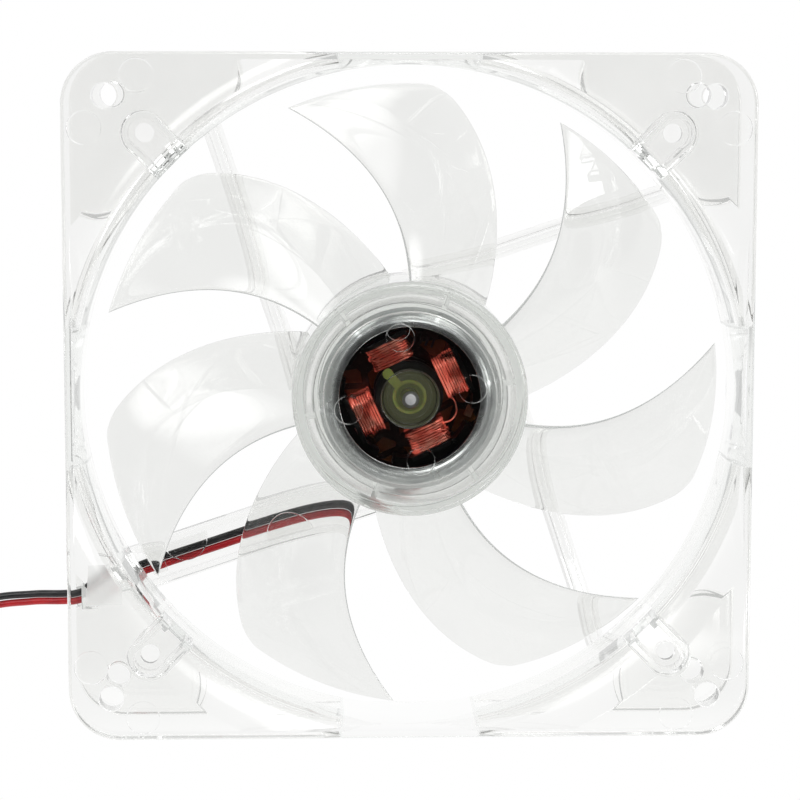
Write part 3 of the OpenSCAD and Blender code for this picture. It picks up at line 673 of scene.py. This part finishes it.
def shaft():
    """Ground pin with chamfered ends and the groove for the clip."""
    lo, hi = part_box("shaft")
    rear, front = -hi.y / MM, -lo.y / MM
    clip_lo, clip_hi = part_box("retaining_clip")
    clip_rear, clip_front = -clip_hi.y / MM - 0.05, -clip_lo.y / MM + 0.05
    bevel, flat = 0.45, 0.9
    side = [(flat - 0.1, rear), (flat, rear + 0.02), (SHAFT_R, rear + bevel), (SHAFT_R, clip_rear),
            (GROOVE_R, clip_rear), (GROOVE_R, clip_front), (SHAFT_R, clip_front), (SHAFT_R, front - bevel),
            (flat + 0.06, front - 0.03), (flat - 0.03, front)]
    return loft("shaft_pin", [[(x, y, z) for x, y in disc_outline(r, 64)] for r, z in side])


def coil_link():
    """The wire between two coils, bowed out over the gap between their poles."""
    a0, a1 = POLE_ANGLE - 22, POLE_ANGLE - 68
    line = []
    for f, (r, z) in enumerate(((7.0, 15.2), (8.2, 15.9), (8.9, 16.2), (8.6, 16.1), (7.4, 15.5))):
        a = math.radians(a0 + (a1 - a0) * f / 4)
        line.append((r * math.cos(a), r * math.sin(a), z))
    return tube("link", spline(line, 8), 0.15, 12)


def lead_point(u_line, i, side):
    """One point of a wire: side by side in the channel, stacked front to back at the connector."""
    n = len(u_line) - 1
    u = i / LEAD_STEPS
    d = u_line[min(i + 1, n)] - u_line[max(i - 1, 0)]
    d /= np.linalg.norm(d)
    turn = math.pi / 2 * min(max((u - TWIST_FROM) / (TWIST_TO - TWIST_FROM), 0), 1)
    spread = LEAD_GAP + (PITCH / 2 - LEAD_GAP) * turn * 2 / math.pi
    across = np.cross(d, (0.0, 0.0, 1.0))
    across /= np.linalg.norm(across)
    return u_line[i] + side * spread * (math.cos(turn) * across + math.sin(turn) * np.array((0.0, 0.0, 1.0)))


def lead_wire(name, side):
    line = spline(LEAD_POINTS, LEAD_STEPS)
    return tube(name, [lead_point(line, i, side) for i in range(len(line))], WIRE_R, 28)


def connector():
    """Three-way crimp housing: open cavities, latch windows and two guide ridges."""
    z_mid = LEAD_POINTS[-1][2] - PITCH / 2
    y_mid = -HALF + HOUSING_T / 2
    x0, x1 = HOUSING_X - HOUSING_L, HOUSING_X
    half_w = 1.5 * PITCH + 0.15
    section = rounded([(y_mid - HOUSING_T / 2, z_mid - half_w, 0.35), (y_mid + HOUSING_T / 2, z_mid - half_w, 0.35),
                       (y_mid + HOUSING_T / 2, z_mid + half_w, 0.35), (y_mid - HOUSING_T / 2, z_mid + half_w, 0.35)])
    housing = bar("connector", section, x0, x1)
    for s in (-1, 0, 1):
        z = z_mid + s * PITCH
        cut(housing, cuboid("cavity", (x0 - 1, y_mid - 0.95, z - 0.95), (x1 + 1, y_mid + 0.95, z + 0.95)))
        cut(housing, cuboid("window", (x0 + 3.2, y_mid, z - 0.6), (x0 + 5.6, y_mid + HOUSING_T, z + 0.6)))
    for s in (-1, 1):
        ridge = rounded([(z_mid + s * 2.54 - 0.5, 0, 0), (z_mid + s * 2.54 + 0.5, 0, 0),
                         (z_mid + s * 2.54 + 0.5, 0.5, 0.2), (z_mid + s * 2.54 - 0.5, 0.5, 0.2)])
        add(housing, bar("ridge", [(y_mid - HOUSING_T / 2 + 0.45 - y, z) for z, y in ridge], x0 + 0.6, x1 - 4))
    cut(housing, cuboid("lead_in", (x1 - 0.6, y_mid - 1.5, z_mid - half_w + 0.5),
                        (x1 + 1, y_mid + 1.5, z_mid + half_w - 0.5)))
    return housing


# ------------------------------------------------------------ materials
def new_material(name):
    mat = bpy.data.materials.new(name)
    mat.use_nodes = True
    nodes = mat.node_tree.nodes
    nodes.clear()
    out = nodes.new("ShaderNodeOutputMaterial")
    bsdf = nodes.new("ShaderNodeBsdfPrincipled")
    mat.node_tree.links.new(bsdf.outputs[0], out.inputs["Surface"])
    return mat, nodes, mat.node_tree.links, bsdf, out


def noise(nodes, links, where, scale, detail=3.0, stretch=(1, 1, 1)):
    mapping = nodes.new("ShaderNodeMapping")
    mapping.inputs["Scale"].default_value = stretch
    links.new(where, mapping.inputs["Vector"])
    tex = nodes.new("ShaderNodeTexNoise")
    tex.inputs["Scale"].default_value = scale
    tex.inputs["Detail"].default_value = detail
    links.new(mapping.outputs[0], tex.inputs["Vector"])
    return tex.outputs["Fac"]


def remap(nodes, links, value, low, high, to_low, to_high):
    m = nodes.new("ShaderNodeMapRange")
    m.interpolation_type = "SMOOTHSTEP"
    for key, v in (("From Min", low), ("From Max", high), ("To Min", to_low), ("To Max", to_high)):
        m.inputs[key].default_value = v
    links.new(value, m.inputs["Value"])
    return m.outputs[0]


def maths(nodes, links, operation, a, b=None):
    m = nodes.new("ShaderNodeMath")
    m.operation = operation
    for socket, v in zip(m.inputs, (a, b)):
        if v is None:
            continue
        if isinstance(v, (int, float)):
            socket.default_value = v
        else:
            links.new(v, socket)
    return m.outputs[0]


def blend_colours(nodes, links, factor, first, second):
    mix = nodes.new("ShaderNodeMix")
    mix.data_type = "RGBA"
    links.new(factor, mix.inputs["Factor"])
    for socket, colour in ((mix.inputs[6], first), (mix.inputs[7], second)):
        if isinstance(colour, tuple):
            socket.default_value = (*colour, 1)
        else:
            links.new(colour, socket)
    return mix.outputs[2]


def relief(nodes, links, height, depth_mm, bsdf):
    bump = nodes.new("ShaderNodeBump")
    bump.inputs["Strength"].default_value = 1
    bump.inputs["Distance"].default_value = depth_mm * MM
    links.new(height, bump.inputs["Height"])
    links.new(bump.outputs[0], bsdf.inputs["Normal"])


def from_axis(nodes, links, where):
    """Distance from the fan's axis, in metres."""
    sep = nodes.new("ShaderNodeSeparateXYZ")
    links.new(where, sep.inputs[0])
    xx = maths(nodes, links, "MULTIPLY", sep.outputs["X"], sep.outputs["X"])
    zz = maths(nodes, links, "MULTIPLY", sep.outputs["Z"], sep.outputs["Z"])
    return maths(nodes, links, "SQRT", maths(nodes, links, "ADD", xx, zz))


def stripes(nodes, links, value, pitch_mm):
    """Soft stripes 0..1 across a length in metres."""
    wave = maths(nodes, links, "SINE", maths(nodes, links, "MULTIPLY", value, 2 * math.pi / (pitch_mm * MM)))
    return remap(nodes, links, wave, -1, 1, 0, 1)


def surface(name, first, second, scale, rough, grain_mm, metal=0.0, coat=0.0, rough_spread=0.08,
            stretch=(1, 1, 1), contrast=0.2, rings_mm=0.0, layers_mm=0.0):
    """Two tones mixed by noise, roughness that wanders with it, and a fine relief."""
    mat, nodes, links, bsdf, out = new_material(name)
    where = nodes.new("ShaderNodeTexCoord").outputs["Object"]
    coarse = noise(nodes, links, where, scale, 4.0, stretch)
    fine = noise(nodes, links, where, scale * 7, 3.0, stretch)
    tone = remap(nodes, links, coarse, 0.5 - contrast, 0.5 + contrast, 0, 1)
    height = fine
    if rings_mm:
        lines = stripes(nodes, links, from_axis(nodes, links, where), rings_mm)
        height = maths(nodes, links, "ADD", fine, lines)
    if layers_mm:
        sep = nodes.new("ShaderNodeSeparateXYZ")
        links.new(where, sep.inputs[0])
        lines = stripes(nodes, links, sep.outputs["Y"], layers_mm)
        height = maths(nodes, links, "ADD", fine, maths(nodes, links, "MULTIPLY", lines, 2.0))
        tone = maths(nodes, links, "MULTIPLY", tone, lines)
    links.new(blend_colours(nodes, links, tone, first, second), bsdf.inputs["Base Color"])
    links.new(remap(nodes, links, coarse, 0.3, 0.7, rough - rough_spread, rough + rough_spread),
              bsdf.inputs["Roughness"])
    bsdf.inputs["Metallic"].default_value = metal
    bsdf.inputs["Coat Weight"].default_value = coat
    bsdf.inputs["Coat Roughness"].default_value = 0.08
    relief(nodes, links, height, grain_mm, bsdf)
    return mat


def between(nodes, links, value, low_mm, high_mm):
    """1 where a length in metres lies between two limits, else 0."""
    above = maths(nodes, links, "GREATER_THAN", value, low_mm * MM)
    below = maths(nodes, links, "LESS_THAN", value, high_mm * MM)
    return maths(nodes, links, "MULTIPLY", above, below)


def hub_frost_and_glow(nodes, links, where):
    """The matt faces inside the hub: the walls of the outer gap, the rear end of the outer wall and the end of the
    boss. The same mask paints a glow on them.
    """
    sep = nodes.new("ShaderNodeSeparateXYZ")
    links.new(where, sep.inputs[0])
    r, height = from_axis(nodes, links, where), sep.outputs["Y"]
    gap = maths(nodes, links, "MULTIPLY", between(nodes, links, r, RING_R + 0.05, HUB_R - 0.3),
                between(nodes, links, height, -HUB_FRONT + 1.2, 0))
    rim = maths(nodes, links, "MULTIPLY", between(nodes, links, r, HUB_R - HUB_WALL + 0.1, HUB_R + 0.1),
                between(nodes, links, height, -HUB_REAR - 0.8, 0))
    boss = maths(nodes, links, "MULTIPLY", between(nodes, links, r, -1, BOSS_R - 0.35),
                 between(nodes, links, height, -BOSS_REAR - 0.3, 0))
    walls = maths(nodes, links, "ADD", gap, maths(nodes, links, "MULTIPLY", rim, 2.0))
    return maths(nodes, links, "MAXIMUM", walls, maths(nodes, links, "MULTIPLY", boss, 0.7))


def flange_frost_and_glow(nodes, links, where):
    """A matt patch on the back of the front flange, beside the cable exit, which the same mask also paints with a
    whitening glow.
    """
    sep = nodes.new("ShaderNodeSeparateXYZ")
    links.new(where, sep.inputs[0])
    mask = between(nodes, links, sep.outputs["X"], -56.9, -51)
    mask = maths(nodes, links, "MULTIPLY", mask, between(nodes, links, sep.outputs["Z"], -36.5, -29.5))
    back = FLANGE_T - DEPTH
    return maths(nodes, links, "MULTIPLY", mask, between(nodes, links, sep.outputs["Y"], back - 0.1, back + 0.6))


def clear_plastic(name, tint, density, wave_mm, frost, frost_rough, glow_paint):
    """Clear moulded polycarbonate: faint flow marks, a slight grey absorption, matt inside faces with a painted glow
    on them, and a painted glow for rays that have bounced many times.
    """
    mat, nodes, links, bsdf, out = new_material(name)
    where = nodes.new("ShaderNodeTexCoord").outputs["Object"]
    cloud = remap(nodes, links, noise(nodes, links, where, 55, 3.0), 0.35, 0.65, 0, 1)
    deeper = tuple(v * 0.98 for v in tint)
    links.new(blend_colours(nodes, links, cloud, deeper, tint), bsdf.inputs["Base Color"])
    bsdf.inputs["IOR"].default_value = 1.49
    bsdf.inputs["Transmission Weight"].default_value = 1
    flow = noise(nodes, links, where, 70, 2.0)
    polish = remap(nodes, links, noise(nodes, links, where, 400), 0.35, 0.75, 0.0, 0.05)
    matt = frost(nodes, links, where)
    rough = maths(nodes, links, "MULTIPLY", matt, frost_rough)
    links.new(maths(nodes, links, "ADD", polish, rough), bsdf.inputs["Roughness"])
    relief(nodes, links, flow, wave_mm, bsdf)
    absorb = nodes.new("ShaderNodeVolumeAbsorption")
    absorb.inputs["Color"].default_value = (*CLEAR_BODY, 1)
    absorb.inputs["Density"].default_value = density
    links.new(absorb.outputs[0], out.inputs["Volume"])
    # painted glow: rays that have bounced more than DEEP times see an even emission instead of the plastic, standing
    # in for light piped round inside it; dim inside the ring, brighter outside
    glow = nodes.new("ShaderNodeEmission")
    links.new(remap(nodes, links, from_axis(nodes, links, where), RING_R * MM, (RING_R + RING_T) * MM, 0.02, DEEP_GLOW_LEVEL),
              glow.inputs["Strength"])
    deep = maths(nodes, links, "GREATER_THAN", nodes.new("ShaderNodeLightPath").outputs["Ray Depth"], DEEP)
    mix = nodes.new("ShaderNodeMixShader")
    links.new(deep, mix.inputs[0])
    links.new(bsdf.outputs[0], mix.inputs[1])
    links.new(glow.outputs[0], mix.inputs[2])
    # painted glow on the matt faces: an emission mixed in by the mask, greenish like the nylon seal near the boss and
    # pale grey further out
    painted_veil = nodes.new("ShaderNodeEmission")
    outward = remap(nodes, links, from_axis(nodes, links, where), BOSS_R * MM, RING_R * MM, 0, 1)
    links.new(blend_colours(nodes, links, outward, NYLON_PAINTED_GLOW, CLEAR_PAINTED_GLOW), painted_veil.inputs["Color"])
    glow_mix = nodes.new("ShaderNodeMixShader")
    links.new(maths(nodes, links, "MULTIPLY", matt, glow_paint), glow_mix.inputs[0])
    links.new(mix.outputs[0], glow_mix.inputs[1])
    links.new(painted_veil.outputs[0], glow_mix.inputs[2])
    links.new(glow_mix.outputs[0], out.inputs["Surface"])
    return mat


def nylon(name):
    mat = surface(name, (0.36, 0.42, 0.08), (0.48, 0.54, 0.14), 300, 0.35, 0.01)
    nodes, links = mat.node_tree.nodes, mat.node_tree.links
    bsdf = next(n for n in nodes if n.type == "BSDF_PRINCIPLED")
    where = nodes.new("ShaderNodeTexCoord").outputs["Object"]
    # painted shade: the seal is coloured dark inside 2.2 mm of the axis, turning to its own green by 2.7 mm
    rim = remap(nodes, links, from_axis(nodes, links, where), 2.2 * MM, 2.7 * MM, 0, 1)
    plain = bsdf.inputs["Base Color"].links[0].from_socket
    links.new(blend_colours(nodes, links, rim, (0.13, 0.15, 0.03), plain), bsdf.inputs["Base Color"])
    bsdf.inputs["Subsurface Weight"].default_value = 0.4
    bsdf.inputs["Subsurface Scale"].default_value = 0.0008
    return mat


def enamelled_copper(name, *tones, **finish):
    """Enamelled copper wire, with painted shade darkening the grooves between the turns and a painted highlight
    glowing on the crests.
    """
    mat = surface(name, *tones, **finish)
    nodes, links = mat.node_tree.nodes, mat.node_tree.links
    bsdf = next(n for n in nodes if n.type == "BSDF_PRINCIPLED")
    pointed = nodes.new("ShaderNodeNewGeometry").outputs["Pointiness"]
    # painted shade: the colour goes dark red where the surface is hollow, in the grooves between the turns
    bulge = remap(nodes, links, pointed, 0.43, 0.51, 0, 1)
    plain = bsdf.inputs["Base Color"].links[0].from_socket
    links.new(blend_colours(nodes, links, bulge, (0.16, 0.010, 0.006), plain), bsdf.inputs["Base Color"])
    where = nodes.new("ShaderNodeTexCoord").outputs["Object"]
    # painted highlight: a pinkish emission in noisy patches on the crests of the turns
    painted_glint = remap(nodes, links, noise(nodes, links, where, 330, 2.0), 0.43, 0.62, 0, COPPER_PAINTED_GLINT)
    ridge = remap(nodes, links, pointed, 0.47, 0.52, 0, 1)
    bsdf.inputs["Emission Color"].default_value = (1.0, 0.16, 0.11, 1)
    links.new(maths(nodes, links, "MULTIPLY", painted_glint, ridge), bsdf.inputs["Emission Strength"])
    return mat


def shaft_steel(name, *tones, **finish):
    """Ground steel whose chamfer is darker than the polished end."""
    mat = surface(name, *tones, **finish)
    nodes, links = mat.node_tree.nodes, mat.node_tree.links
    bsdf = next(n for n in nodes if n.type == "BSDF_PRINCIPLED")
    where = nodes.new("ShaderNodeTexCoord").outputs["Object"]
    edge = remap(nodes, links, from_axis(nodes, links, where), 0.85 * MM, 1.05 * MM, 0, 1)
    plain = bsdf.inputs["Base Color"].links[0].from_socket
    links.new(blend_colours(nodes, links, edge, plain, (0.16, 0.16, 0.15)), bsdf.inputs["Base Color"])
    return mat


def board_laminate(name):
    """Brown laminate under a clear lacquer, with copper tracks round the middle."""
    mat, nodes, links, bsdf, out = new_material(name)
    where = nodes.new("ShaderNodeTexCoord").outputs["Object"]
    fibre = noise(nodes, links, where, 500, 5.0, (1, 1, 3))
    base = blend_colours(nodes, links, remap(nodes, links, fibre, 0.3, 0.7, 0, 1), (0.010, 0.0035, 0.0012),
                         (0.022, 0.008, 0.0025))
    cells = nodes.new("ShaderNodeTexVoronoi")
    cells.feature = "DISTANCE_TO_EDGE"
    cells.inputs["Scale"].default_value = 210
    links.new(where, cells.inputs["Vector"])
    track = remap(nodes, links, cells.outputs["Distance"], 0.10, 0.14, 0, 1)
    links.new(blend_colours(nodes, links, track, base, (0.15, 0.055, 0.010)), bsdf.inputs["Base Color"])
    bsdf.inputs["Roughness"].default_value = 0.25
    bsdf.inputs["Coat Weight"].default_value = 0.6
    relief(nodes, links, track, 0.03, bsdf)
    return mat


def materials():
    steel_tones = (0.58, 0.60, 0.61), (0.72, 0.74, 0.74)
    dark = (0.003, 0.0026, 0.0022), (0.007, 0.006, 0.005)
    return {
        "frame": clear_plastic("clear_frame", FRAME_TINT, 8.0, 0.05, flange_frost_and_glow, 0.3, 0.3),
        "rotor": clear_plastic("clear_rotor", ROTOR_TINT, 20.0, 0.02, hub_frost_and_glow, 0.16, 0.16),
        "zinc": surface("zinc_steel", *steel_tones, 160, 0.24, 0.003, metal=1, rings_mm=0.35, rough_spread=0.05),
        "copper": enamelled_copper("enamelled_copper", (0.80, 0.10, 0.06), (0.98, 0.38, 0.27), 350, 0.2, 0.002, metal=0.6,
                          rough_spread=0.05, coat=0.6),
        "nylon": nylon("nylon"),
        "dark": surface("insulator_plastic", *dark, 400, 0.35, 0.01),
        "lamination": surface("lamination_steel", (0.006, 0.0055, 0.005), (0.03, 0.028, 0.027), 300, 0.38, 0.02,
                              metal=0.7, layers_mm=0.5),
        "board": board_laminate("board_laminate"),
        "epoxy": surface("component_epoxy", (0.012, 0.012, 0.013), (0.022, 0.022, 0.022), 900, 0.45, 0.01),
        "ceramic": surface("chip_ceramic", (0.36, 0.24, 0.14), (0.52, 0.40, 0.27), 700, 0.4, 0.01),
        "solder": surface("solder", (0.55, 0.56, 0.58), (0.75, 0.75, 0.76), 600, 0.25, 0.03, metal=1),
        "tin": surface("tinned_metal", (0.66, 0.66, 0.64), (0.80, 0.80, 0.79), 500, 0.24, 0.008, metal=1),
        "black_pvc": surface("black_pvc", (0.010, 0.010, 0.011), (0.02, 0.02, 0.021), 250, 0.38, 0.02, coat=0.15),
        "red_pvc": surface("red_pvc", (0.50, 0.008, 0.016), (0.66, 0.016, 0.022), 250, 0.38, 0.02, coat=0.15),
        "connector": surface("connector_nylon", (0.014, 0.014, 0.015), (0.03, 0.03, 0.031), 500, 0.42, 0.02),
        "bronze": surface("sintered_bronze", (0.36, 0.20, 0.08), (0.58, 0.37, 0.17), 900, 0.42, 0.03, metal=1),
        "washer": surface("washer_nylon", (0.74, 0.74, 0.70), (0.84, 0.84, 0.80), 400, 0.45, 0.01),
        "rubber": surface("plug_rubber", (0.018, 0.018, 0.018), (0.035, 0.034, 0.033), 400, 0.6, 0.03),
        "film": surface("label_film", (0.74, 0.75, 0.76), (0.82, 0.83, 0.83), 120, 0.32, 0.01, coat=0.3, metal=0.15),
        "ferrite": surface("ferrite", (0.02, 0.019, 0.018), (0.05, 0.048, 0.045), 800, 0.5, 0.03),
        "ground": shaft_steel("ground_steel", (0.68, 0.69, 0.70), (0.85, 0.85, 0.86), 900, 0.42, 0.004, metal=0.8,
                          rings_mm=0.25, rough_spread=0.05),
        "clip": surface("clip_nylon", (0.62, 0.60, 0.50), (0.72, 0.70, 0.60), 400, 0.4, 0.01),
    }


def dress(uses, mats):
    for name, key in uses.items():
        mesh = frame["nodes"][name].data
        mesh.materials.clear()
        mesh.materials.append(mats[key])


# ------------------------------------------------------------ stage
def vector_maths(nodes, links, operation, a, b=None):
    m = nodes.new("ShaderNodeVectorMath")
    m.operation = operation
    for socket, v in zip(m.inputs, (a, b)):
        if isinstance(v, (tuple, Vector)):
            socket.default_value = v
        elif v is not None:
            links.new(v, socket)
    return m.outputs["Value"] if operation in ("DOT_PRODUCT", "DISTANCE") else m.outputs[0]


def cone(nodes, links, where, direction):
    """Cosine of the angle between a direction in the scene and a given one."""
    if isinstance(direction, tuple):
        direction = Vector(direction).normalized()
    return vector_maths(nodes, links, "DOT_PRODUCT", where, direction)


def camera_way(nodes, links):
    """Unit vector from the hub's cap to the camera."""
    eye = nodes.new("ShaderNodeVectorTransform")
    eye.vector_type = "POINT"
    eye.convert_from, eye.convert_to = "CAMERA", "WORLD"
    eye.inputs[0].default_value = (0, 0, 0)
    return vector_maths(nodes, links, "NORMALIZE", vector_maths(nodes, links, "SUBTRACT", eye.outputs[0], CAP_MIDDLE))


def mirror_way(nodes, links):
    """Where the fan's flat faces look: the way to the camera, mirrored about the axis if it is near it."""
    way = camera_way(nodes, links)
    sep = nodes.new("ShaderNodeSeparateXYZ")
    links.new(way, sep.inputs[0])
    along = maths(nodes, links, "GREATER_THAN", maths(nodes, links, "ABSOLUTE", sep.outputs["Y"]), 0.85)
    flip = maths(nodes, links, "SUBTRACT", 1.0, maths(nodes, links, "MULTIPLY", along, 2.0))
    signs = nodes.new("ShaderNodeCombineXYZ")
    links.new(flip, signs.inputs["X"])
    signs.inputs["Y"].default_value = 1
    links.new(flip, signs.inputs["Z"])
    return vector_maths(nodes, links, "MULTIPLY", way, signs.outputs[0])


def floor():
    """A pale floor under the fan, bright enough to close off the background."""
    mesh = bpy.data.meshes.new("floor")
    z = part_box("frame")[0].z
    s = 6.0
    mesh.from_pydata([(-s, -s, z), (s, -s, z), (s, s, z), (-s, s, z)], [], [(0, 1, 2, 3)])
    obj = bpy.data.objects.new("floor", mesh)
    bpy.context.scene.collection.objects.link(obj)
    mat = bpy.data.materials.new("floor")
    mat.use_nodes = True
    nodes, links = mat.node_tree.nodes, mat.node_tree.links
    nodes.clear()
    out = nodes.new("ShaderNodeOutputMaterial")
    em = nodes.new("ShaderNodeEmission")
    position = nodes.new("ShaderNodeNewGeometry").outputs["Position"]
    unit = vector_maths(nodes, links, "NORMALIZE", vector_maths(nodes, links, "SUBTRACT", position, CAP_MIDDLE))
    near = cone(nodes, links, unit, mirror_way(nodes, links))
    base = remap(nodes, links, near, math.cos(math.radians(FLOOR_FADE[1])), math.cos(math.radians(FLOOR_FADE[0])),
                 1, DARK_LEVEL)
    # on the camera's side of the fan the floor is white for the camera and dim for the reflections
    ahead = vector_maths(nodes, links, "DOT_PRODUCT", position, camera_way(nodes, links))
    strip = remap(nodes, links, ahead, FLOOR_STRIP[0] * MM, FLOOR_STRIP[1] * MM, 1, STRIP_LEVEL)
    base = maths(nodes, links, "MULTIPLY", base, strip)
    (gx, gy), inner, outer, strength = FLOOR_GLOW
    apart = vector_maths(nodes, links, "DISTANCE", position, (gx * MM, gy * MM, z))
    glow = remap(nodes, links, apart, inner * MM, outer * MM, strength, 0)
    total = maths(nodes, links, "ADD", base, glow)
    seen = nodes.new("ShaderNodeLightPath").outputs["Is Camera Ray"]
    links.new(maths(nodes, links, "MAXIMUM", total, seen), em.inputs["Strength"])
    links.new(em.outputs[0], out.inputs["Surface"])
    mesh.materials.append(mat)


def world():
    """Studio by direction: white behind the fan, a dark patch round the camera, soft boxes at the sides."""
    w = bpy.data.worlds.new("studio")
    bpy.context.scene.world = w
    w.use_nodes = True
    nodes, links = w.node_tree.nodes, w.node_tree.links
    nodes.clear()
    out = nodes.new("ShaderNodeOutputWorld")
    bg = nodes.new("ShaderNodeBackground")
    where = nodes.new("ShaderNodeTexCoord").outputs["Generated"]
    ramp = nodes.new("ShaderNodeValToRGB")
    e = ramp.color_ramp.elements
    e[0].position, e[0].color = 0.0, (0.05, 0.05, 0.05, 1)
    e[1].position, e[1].color = SKY_WHITE, (1, 1, 1, 1)
    for p, v in SKY:
        n = e.new(p)
        n.color = (v, v, v, 1)
    m = nodes.new("ShaderNodeMapRange")
    m.inputs["From Min"].default_value = 1
    m.inputs["From Max"].default_value = -1
    links.new(cone(nodes, links, where, mirror_way(nodes, links)), m.inputs["Value"])
    links.new(m.outputs[0], ramp.inputs[0])
    seen = nodes.new("ShaderNodeLightPath").outputs["Is Camera Ray"]
    total = blend_colours(nodes, links, seen, ramp.outputs[0], (1.0, 1.0, 1.0))
    for direction, inner, outer, strength in SOFT_BOXES:
        glow = remap(nodes, links, cone(nodes, links, where, direction), math.cos(math.radians(outer)), math.cos(math.radians(inner)),
                     0, strength)
        mix = nodes.new("ShaderNodeVectorMath")
        mix.operation = "ADD"
        links.new(total, mix.inputs[0])
        links.new(glow, mix.inputs[1])
        total = mix.outputs[0]
    links.new(total, bg.inputs[0])
    links.new(bg.outputs[0], out.inputs[0])


def camera():
    """The photograph's view: a long lens a little above and to the left of the fan's axis."""
    az, el, roll = (math.radians(v) for v in (-2.585, 7.972, 0.121))
    back = Vector((math.sin(az) * math.cos(el), -math.cos(az) * math.cos(el), math.sin(el)))
    target = Vector((3.878, -12.5, -15.215)) * MM
    right = (-back).cross(Vector((0, 0, 1))).normalized()
    up = right.cross(-back)
    x_axis = right * math.cos(roll) + up * math.sin(roll)
    y_axis = up * math.cos(roll) - right * math.sin(roll)
    data = bpy.data.cameras.new("camera")
    data.sensor_width = 36
    data.lens = 132.0
    data.shift_x = -0.0372
    data.shift_y = 0.0965
    data.clip_start = 0.01
    data.clip_end = 50
    obj = bpy.data.objects.new("camera", data)
    spot = target + back * 524.458 * MM
    obj.matrix_world = Matrix((
        (x_axis.x, y_axis.x, back.x, spot.x),
        (x_axis.y, y_axis.y, back.y, spot.y),
        (x_axis.z, y_axis.z, back.z, spot.z),
        (0, 0, 0, 1)))
    bpy.context.scene.collection.objects.link(obj)
    bpy.context.scene.camera = obj


USES = {
    "bearing_sleeve": "bronze", "oil_seal": "nylon", "thrust_washer": "washer", "rear_plug": "rubber",
    "rear_label": "film", "stator_core": "lamination", "front_insulator": "dark", "rear_insulator": "dark",
    "winding_pins": "tin", "circuit_board": "board", "driver_ic": "epoxy", "diode": "epoxy",
    "chip_capacitor": "ceramic", "solder_joints": "solder", "connector_contacts": "tin",
    "magnet_ring": "ferrite", "retaining_clip": "clip"}
mats = materials()
dress(USES, mats)
place(frame_piece(), mats["frame"], "frame", ["frame"])
place(impeller_piece(), mats["rotor"], "rotor", ["impeller"])
place(yoke(), mats["zinc"], "rotor", ["yoke_ring"], 60)
place(shaft(), mats["ground"], "rotor", ["shaft"], 25)
for k in range(4):
    coil = winding(f"winding_{k + 1}", k)
    if k == 0:
        add(coil, coil_link())
    place(coil, mats["copper"], "frame", [f"coil_{k + 1}"], 50)
place(lead_wire("lead_black", 1), mats["black_pvc"], "frame", ["black_wire"], 50)
place(lead_wire("lead_red", -1), mats["red_pvc"], "frame", ["red_wire"], 50)
place(connector(), mats["connector"], "frame", ["connector_housing"])
floor()
world()
camera()
scene = bpy.context.scene
scene.view_settings.view_transform = "Standard"
scene.cycles.max_bounces = 24
scene.cycles.transmission_bounces = 24
scene.cycles.glossy_bounces = 8
scene.cycles.transparent_max_bounces = 24
